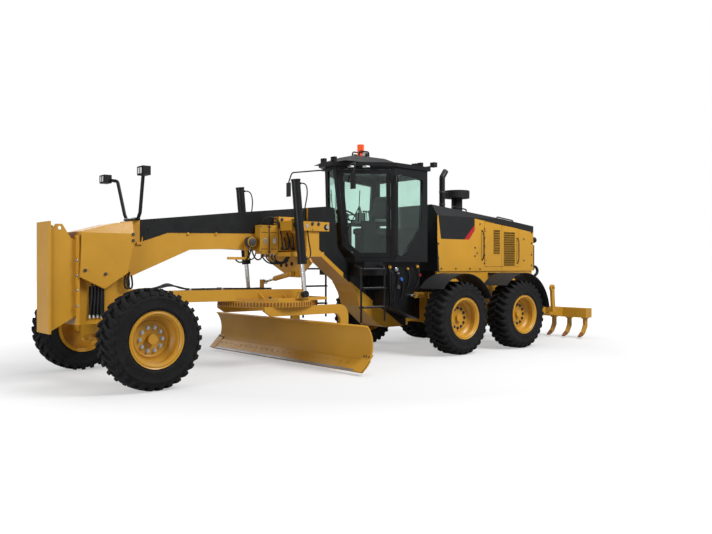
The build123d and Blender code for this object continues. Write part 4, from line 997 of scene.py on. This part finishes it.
def hood_details():
    """Grilles, lid seams, handles, bolts, tail lamps, hooks and trim of the hood."""
    grilles = [  # x limits, z limits
        ((-3.155, -2.949), (1.781, 2.263)),
        ((-3.632, -3.270), (1.544, 2.232)),
    ]
    for word, side in SIDES:
        # Flat sheets inside the grille frames, in the darker grille colour that carries painted shade for
        # the mesh's holes.
        bm = bmesh.new()
        for x, z in grilles:
            box(bm, x, sorted((side * 0.606, side * 0.6180)), z)
        piece(bm, f"grille_mesh_{word}", f"hood_lid_{word}", grille_mesh_with_painted_shade)
        bm = bmesh.new()
        for x, z in grilles:
            y = sorted((side * LID_SIDE, side * 0.6235))
            for limits in ((x[0] - 0.012, x[0] + 0.004), (x[1] - 0.004, x[1] + 0.012)):
                box(bm, limits, y, (z[0] - 0.012, z[1] + 0.012))
            for limits in ((z[0] - 0.012, z[0] + 0.004), (z[1] - 0.004, z[1] + 0.012)):
                box(bm, x, y, limits)
        piece(bm, f"grille_frames_{word}", f"hood_lid_{word}", yellow, edge=0.001)
        bm = bmesh.new()
        box(bm, (-3.2145, -3.2105), sorted((side * LID_SIDE, side * 0.6212)), (1.46, 2.37))
        piece(bm, f"lid_seam_{word}", f"hood_lid_{word}", plastic)
        hoses(f"lid_handle_{word}", f"hood_lid_{word}", black, 0.010, [
            [(-3.700, side * LID_SIDE, 1.60), (-3.700, side * 0.672, 1.62), (-3.700, side * 0.672, 1.86),
             (-3.700, side * 0.672, 2.10), (-3.700, side * LID_SIDE, 2.12)]])
        hoses(f"hood_rail_{word}", REAR, black, 0.011, [
            [(-2.600, side * LID_SIDE, 1.66), (-2.600, side * 0.675, 1.68), (-2.600, side * 0.675, 1.95),
             (-2.600, side * 0.675, 2.22), (-2.600, side * LID_SIDE, 2.24)]])
    head = bolt_pattern("hood_bolt", 0.024, 0.014)
    places = on_sides([(x, z) for x, heights in HOOD_BOLTS for z in heights], HOOD_HALF)
    bolts("hood_bolts", REAR, iron, head, places)
    bm = bmesh.new()
    bar_pair(bm, (LAMP_REAR, 0.53, 2.08), (-4.300, 0.53, 2.08), 0.034, 24)
    bar_pair(bm, (LAMP_REAR, 0.565, 1.50), (-4.300, 0.565, 1.50), 0.030, 24)
    piece(bm, "tail_lamp_glass", REAR, red, smooth=True)
    hoses("rear_hooks", REAR, black, 0.030, both_hands([[
        (-4.255, 0.575, 1.54), (-4.36, 0.590, 1.54), (-4.43, 0.595, 1.48), (-4.42, 0.595, 1.38),
        (-4.35, 0.590, 1.35)]]))
    bm = bmesh.new()
    for y in (-0.590, 0.590):
        ball(bm, (-4.315, y, 2.09), 0.062, (0.8, 1, 1))
    bar_pair(bm, (-4.25, 0.590, 2.09), (-4.31, 0.590, 2.09), 0.040, 16)
    box_pair(bm, (-4.292, REAR_TRIM), (0.560, LID_SIDE), (1.56, 1.98))
    piece(bm, "rear_trim", REAR, plastic, edge=0.004, smooth=True)
    bm = bmesh.new()
    for i in range(15):
        z = 1.56 + i * 0.05
        box(bm, (-4.262, REAR_TRIM), (-0.42, 0.42), (z, z + 0.022))
    piece(bm, "rear_grille", REAR, black)


def rear_details():
    """Bands of the stack, ribs of the air cleaner, bumper bolts and ripper tips."""
    bm = bmesh.new()
    for z in (2.72, 2.95):
        turned(bm, [(0.0552, z - 0.012), (0.060, z - 0.012), (0.060, z + 0.012), (0.0552, z + 0.012)], "Z",
               STACK_AT, 28)
    piece(bm, "stack_bands", REAR, iron)
    bm = bmesh.new()
    turned(bm, [(0.250, 2.915), (0.2525, 2.915), (0.2525, 2.935), (0.250, 2.935)], "Z", CLEANER_AT, 40)
    for i in range(24):
        angle = 2 * pi * i / 24
        x, y = CLEANER_AT[0] + CLEANER_R * cos(angle), CLEANER_R * sin(angle)
        box(bm, (x - 0.004, x + 0.004), (y - 0.004, y + 0.004), (2.945, 3.035))
    piece(bm, "cleaner_ribs", REAR, plastic)
    head = bolt_pattern("bumper_bolt", 0.036, 0.026)
    places = [((-4.380, y, z), (-1, 0, 0)) for y in (-0.40, -0.12, 0.12, 0.40) for z in (0.90, 1.30)]
    bolts("bumper_bolts", REAR, iron, head, places)
    bm = bmesh.new()
    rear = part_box("ripper")[0][0]
    for i in range(7):
        y = (i - 3) * 0.385 - 0.0315
        plate(bm, [(rear + 0.20, y, 0.080), (rear + 0.3225, y, 0.0398), (rear + 0.3435, y, 0.0605),
                   (rear + 0.235, y, 0.145)], (0, 0.063, 0))
    piece(bm, "ripper_tips", "ripper", worn_iron, edge=0.002)


hood_details()
rear_details()


# Camera, light and floor

CAMERA_AT = Vector((8.587, 9.9645, 1.5658))
CAMERA_YAW = radians(-130.476)
CAMERA_PITCH = -0.0026
PHOTO_FOCUS = 739.61        # focal length in the photograph's pixels
PHOTO_WIDE = 712
SENSOR = 36.0
REFLECTED = 0.45            # how bright the white surroundings are in reflections
FLOOR_TONE = (0.40, 0.40, 0.405)
ROOM_LIGHT = 0.17           # strength of the surroundings on diffuse surfaces
FLOOR_GLOW = 0.42           # emission of the floor near the machine
FLOOR_WHITE = 1.05          # emission far away
GLOW_FROM, GLOW_TO = 4.5, 11.0      # distances between which it grows


def facing(place, way):
    """Where a camera or a lamp goes that looks along a direction."""
    return Matrix.Translation(place) @ way.to_track_quat("-Z", "Y").to_matrix().to_4x4()


def studio():
    """Camera at the photograph's place, soft lamps, pale surroundings and floor."""
    lens = bpy.data.cameras.new("view")
    lens.sensor_width = SENSOR
    lens.lens = PHOTO_FOCUS / PHOTO_WIDE * SENSOR
    lens.clip_end = 200
    camera = linked("view", lens)
    flat = cos(CAMERA_PITCH)
    look = Vector((cos(CAMERA_YAW) * flat, sin(CAMERA_YAW) * flat, sin(CAMERA_PITCH)))
    camera.matrix_world = facing(CAMERA_AT, look)
    scene.camera = camera

    lamps = [  # name, place, aimed at, side length, power
        ("key", (-2.5, 8.5, 9.5), (0.5, 0, 1.0), 5.0, 1400),
        ("front", (12.5, 3.5, 2.4), (1, 0, 1.2), 5.0, 480),
        ("over", (-1.0, 0.0, 11.0), (0, 0, 0), 10.0, 560),
        ("back", (2.0, -11.0, 6.0), (0, 0, 1.5), 7.0, 240),
    ]
    for name, place, target, length, power in lamps:
        lamp = bpy.data.lights.new(name, "AREA")
        lamp.shape = "SQUARE"
        lamp.size = length
        lamp.energy = power
        linked(name, lamp).matrix_world = facing(place, Vector(target) - Vector(place))

    world = bpy.data.worlds.new("pale_room")
    scene.world = world
    world.use_nodes = True
    tree = world.node_tree
    ground = tree.nodes["Background"]
    ground.inputs["Color"].default_value = (1, 1, 1, 1)
    path = add(tree, "LightPath")
    tree.links.new(seen_directly(tree, path, ROOM_LIGHT), ground.inputs["Strength"])

    bm = bmesh.new()
    bmesh.ops.create_grid(bm, x_segments=1, y_segments=1, size=60)
    floor = linked("floor", pattern(bm, "floor"))
    floor.data.materials.append(floor_finish())


def seen_directly(tree, path, base):
    """1 to the eye and through glass, a part of it in reflections, and a base for all other light."""
    level = None
    for ray, low, high in (("Is Glossy Ray", base, REFLECTED), ("Is Transmission Ray", None, 1.0),
                           ("Is Camera Ray", None, 1.0)):
        mix = add(tree, "Mix", B=high)
        if level is None:
            mix.inputs["A"].default_value = low
        else:
            tree.links.new(level, mix.inputs["A"])
        tree.links.new(path.outputs[ray], mix.inputs["Factor"])
        level = mix.outputs["Result"]
    return level


def floor_finish():
    """White floor that keeps the machine's soft shadow and brightens away from it."""
    mat, tree, body = shader("pale_floor", 0.9)
    body.inputs["Base Color"].default_value = (*FLOOR_TONE, 1)
    body.inputs["Specular IOR Level"].default_value = 0.0
    place = add(tree, "TexCoord")
    away = add(tree, "VectorMath")
    away.operation = "LENGTH"
    tree.links.new(place.outputs["Object"], away.inputs[0])
    grow = add(tree, "MapRange", From_Min=GLOW_FROM, From_Max=GLOW_TO, To_Min=FLOOR_GLOW, To_Max=FLOOR_WHITE)
    tree.links.new(away.outputs["Value"], grow.inputs["Value"])
    glow = add(tree, "Emission", Color=(1, 1, 1, 1))
    path = add(tree, "LightPath")
    seen = seen_directly(tree, path, 0.0)
    level = add(tree, "Math")
    level.operation = "MULTIPLY"
    tree.links.new(seen, level.inputs[0])
    tree.links.new(grow.outputs["Result"], level.inputs[1])
    tree.links.new(level.outputs["Value"], glow.inputs["Strength"])
    both = add(tree, "AddShader")
    tree.links.new(body.outputs["BSDF"], both.inputs[0])
    tree.links.new(glow.outputs["Emission"], both.inputs[1])
    tree.links.new(both.outputs["Shader"], tree.nodes["Material Output"].inputs["Surface"])
    return mat


studio()
scene.view_settings.view_transform = "Standard"
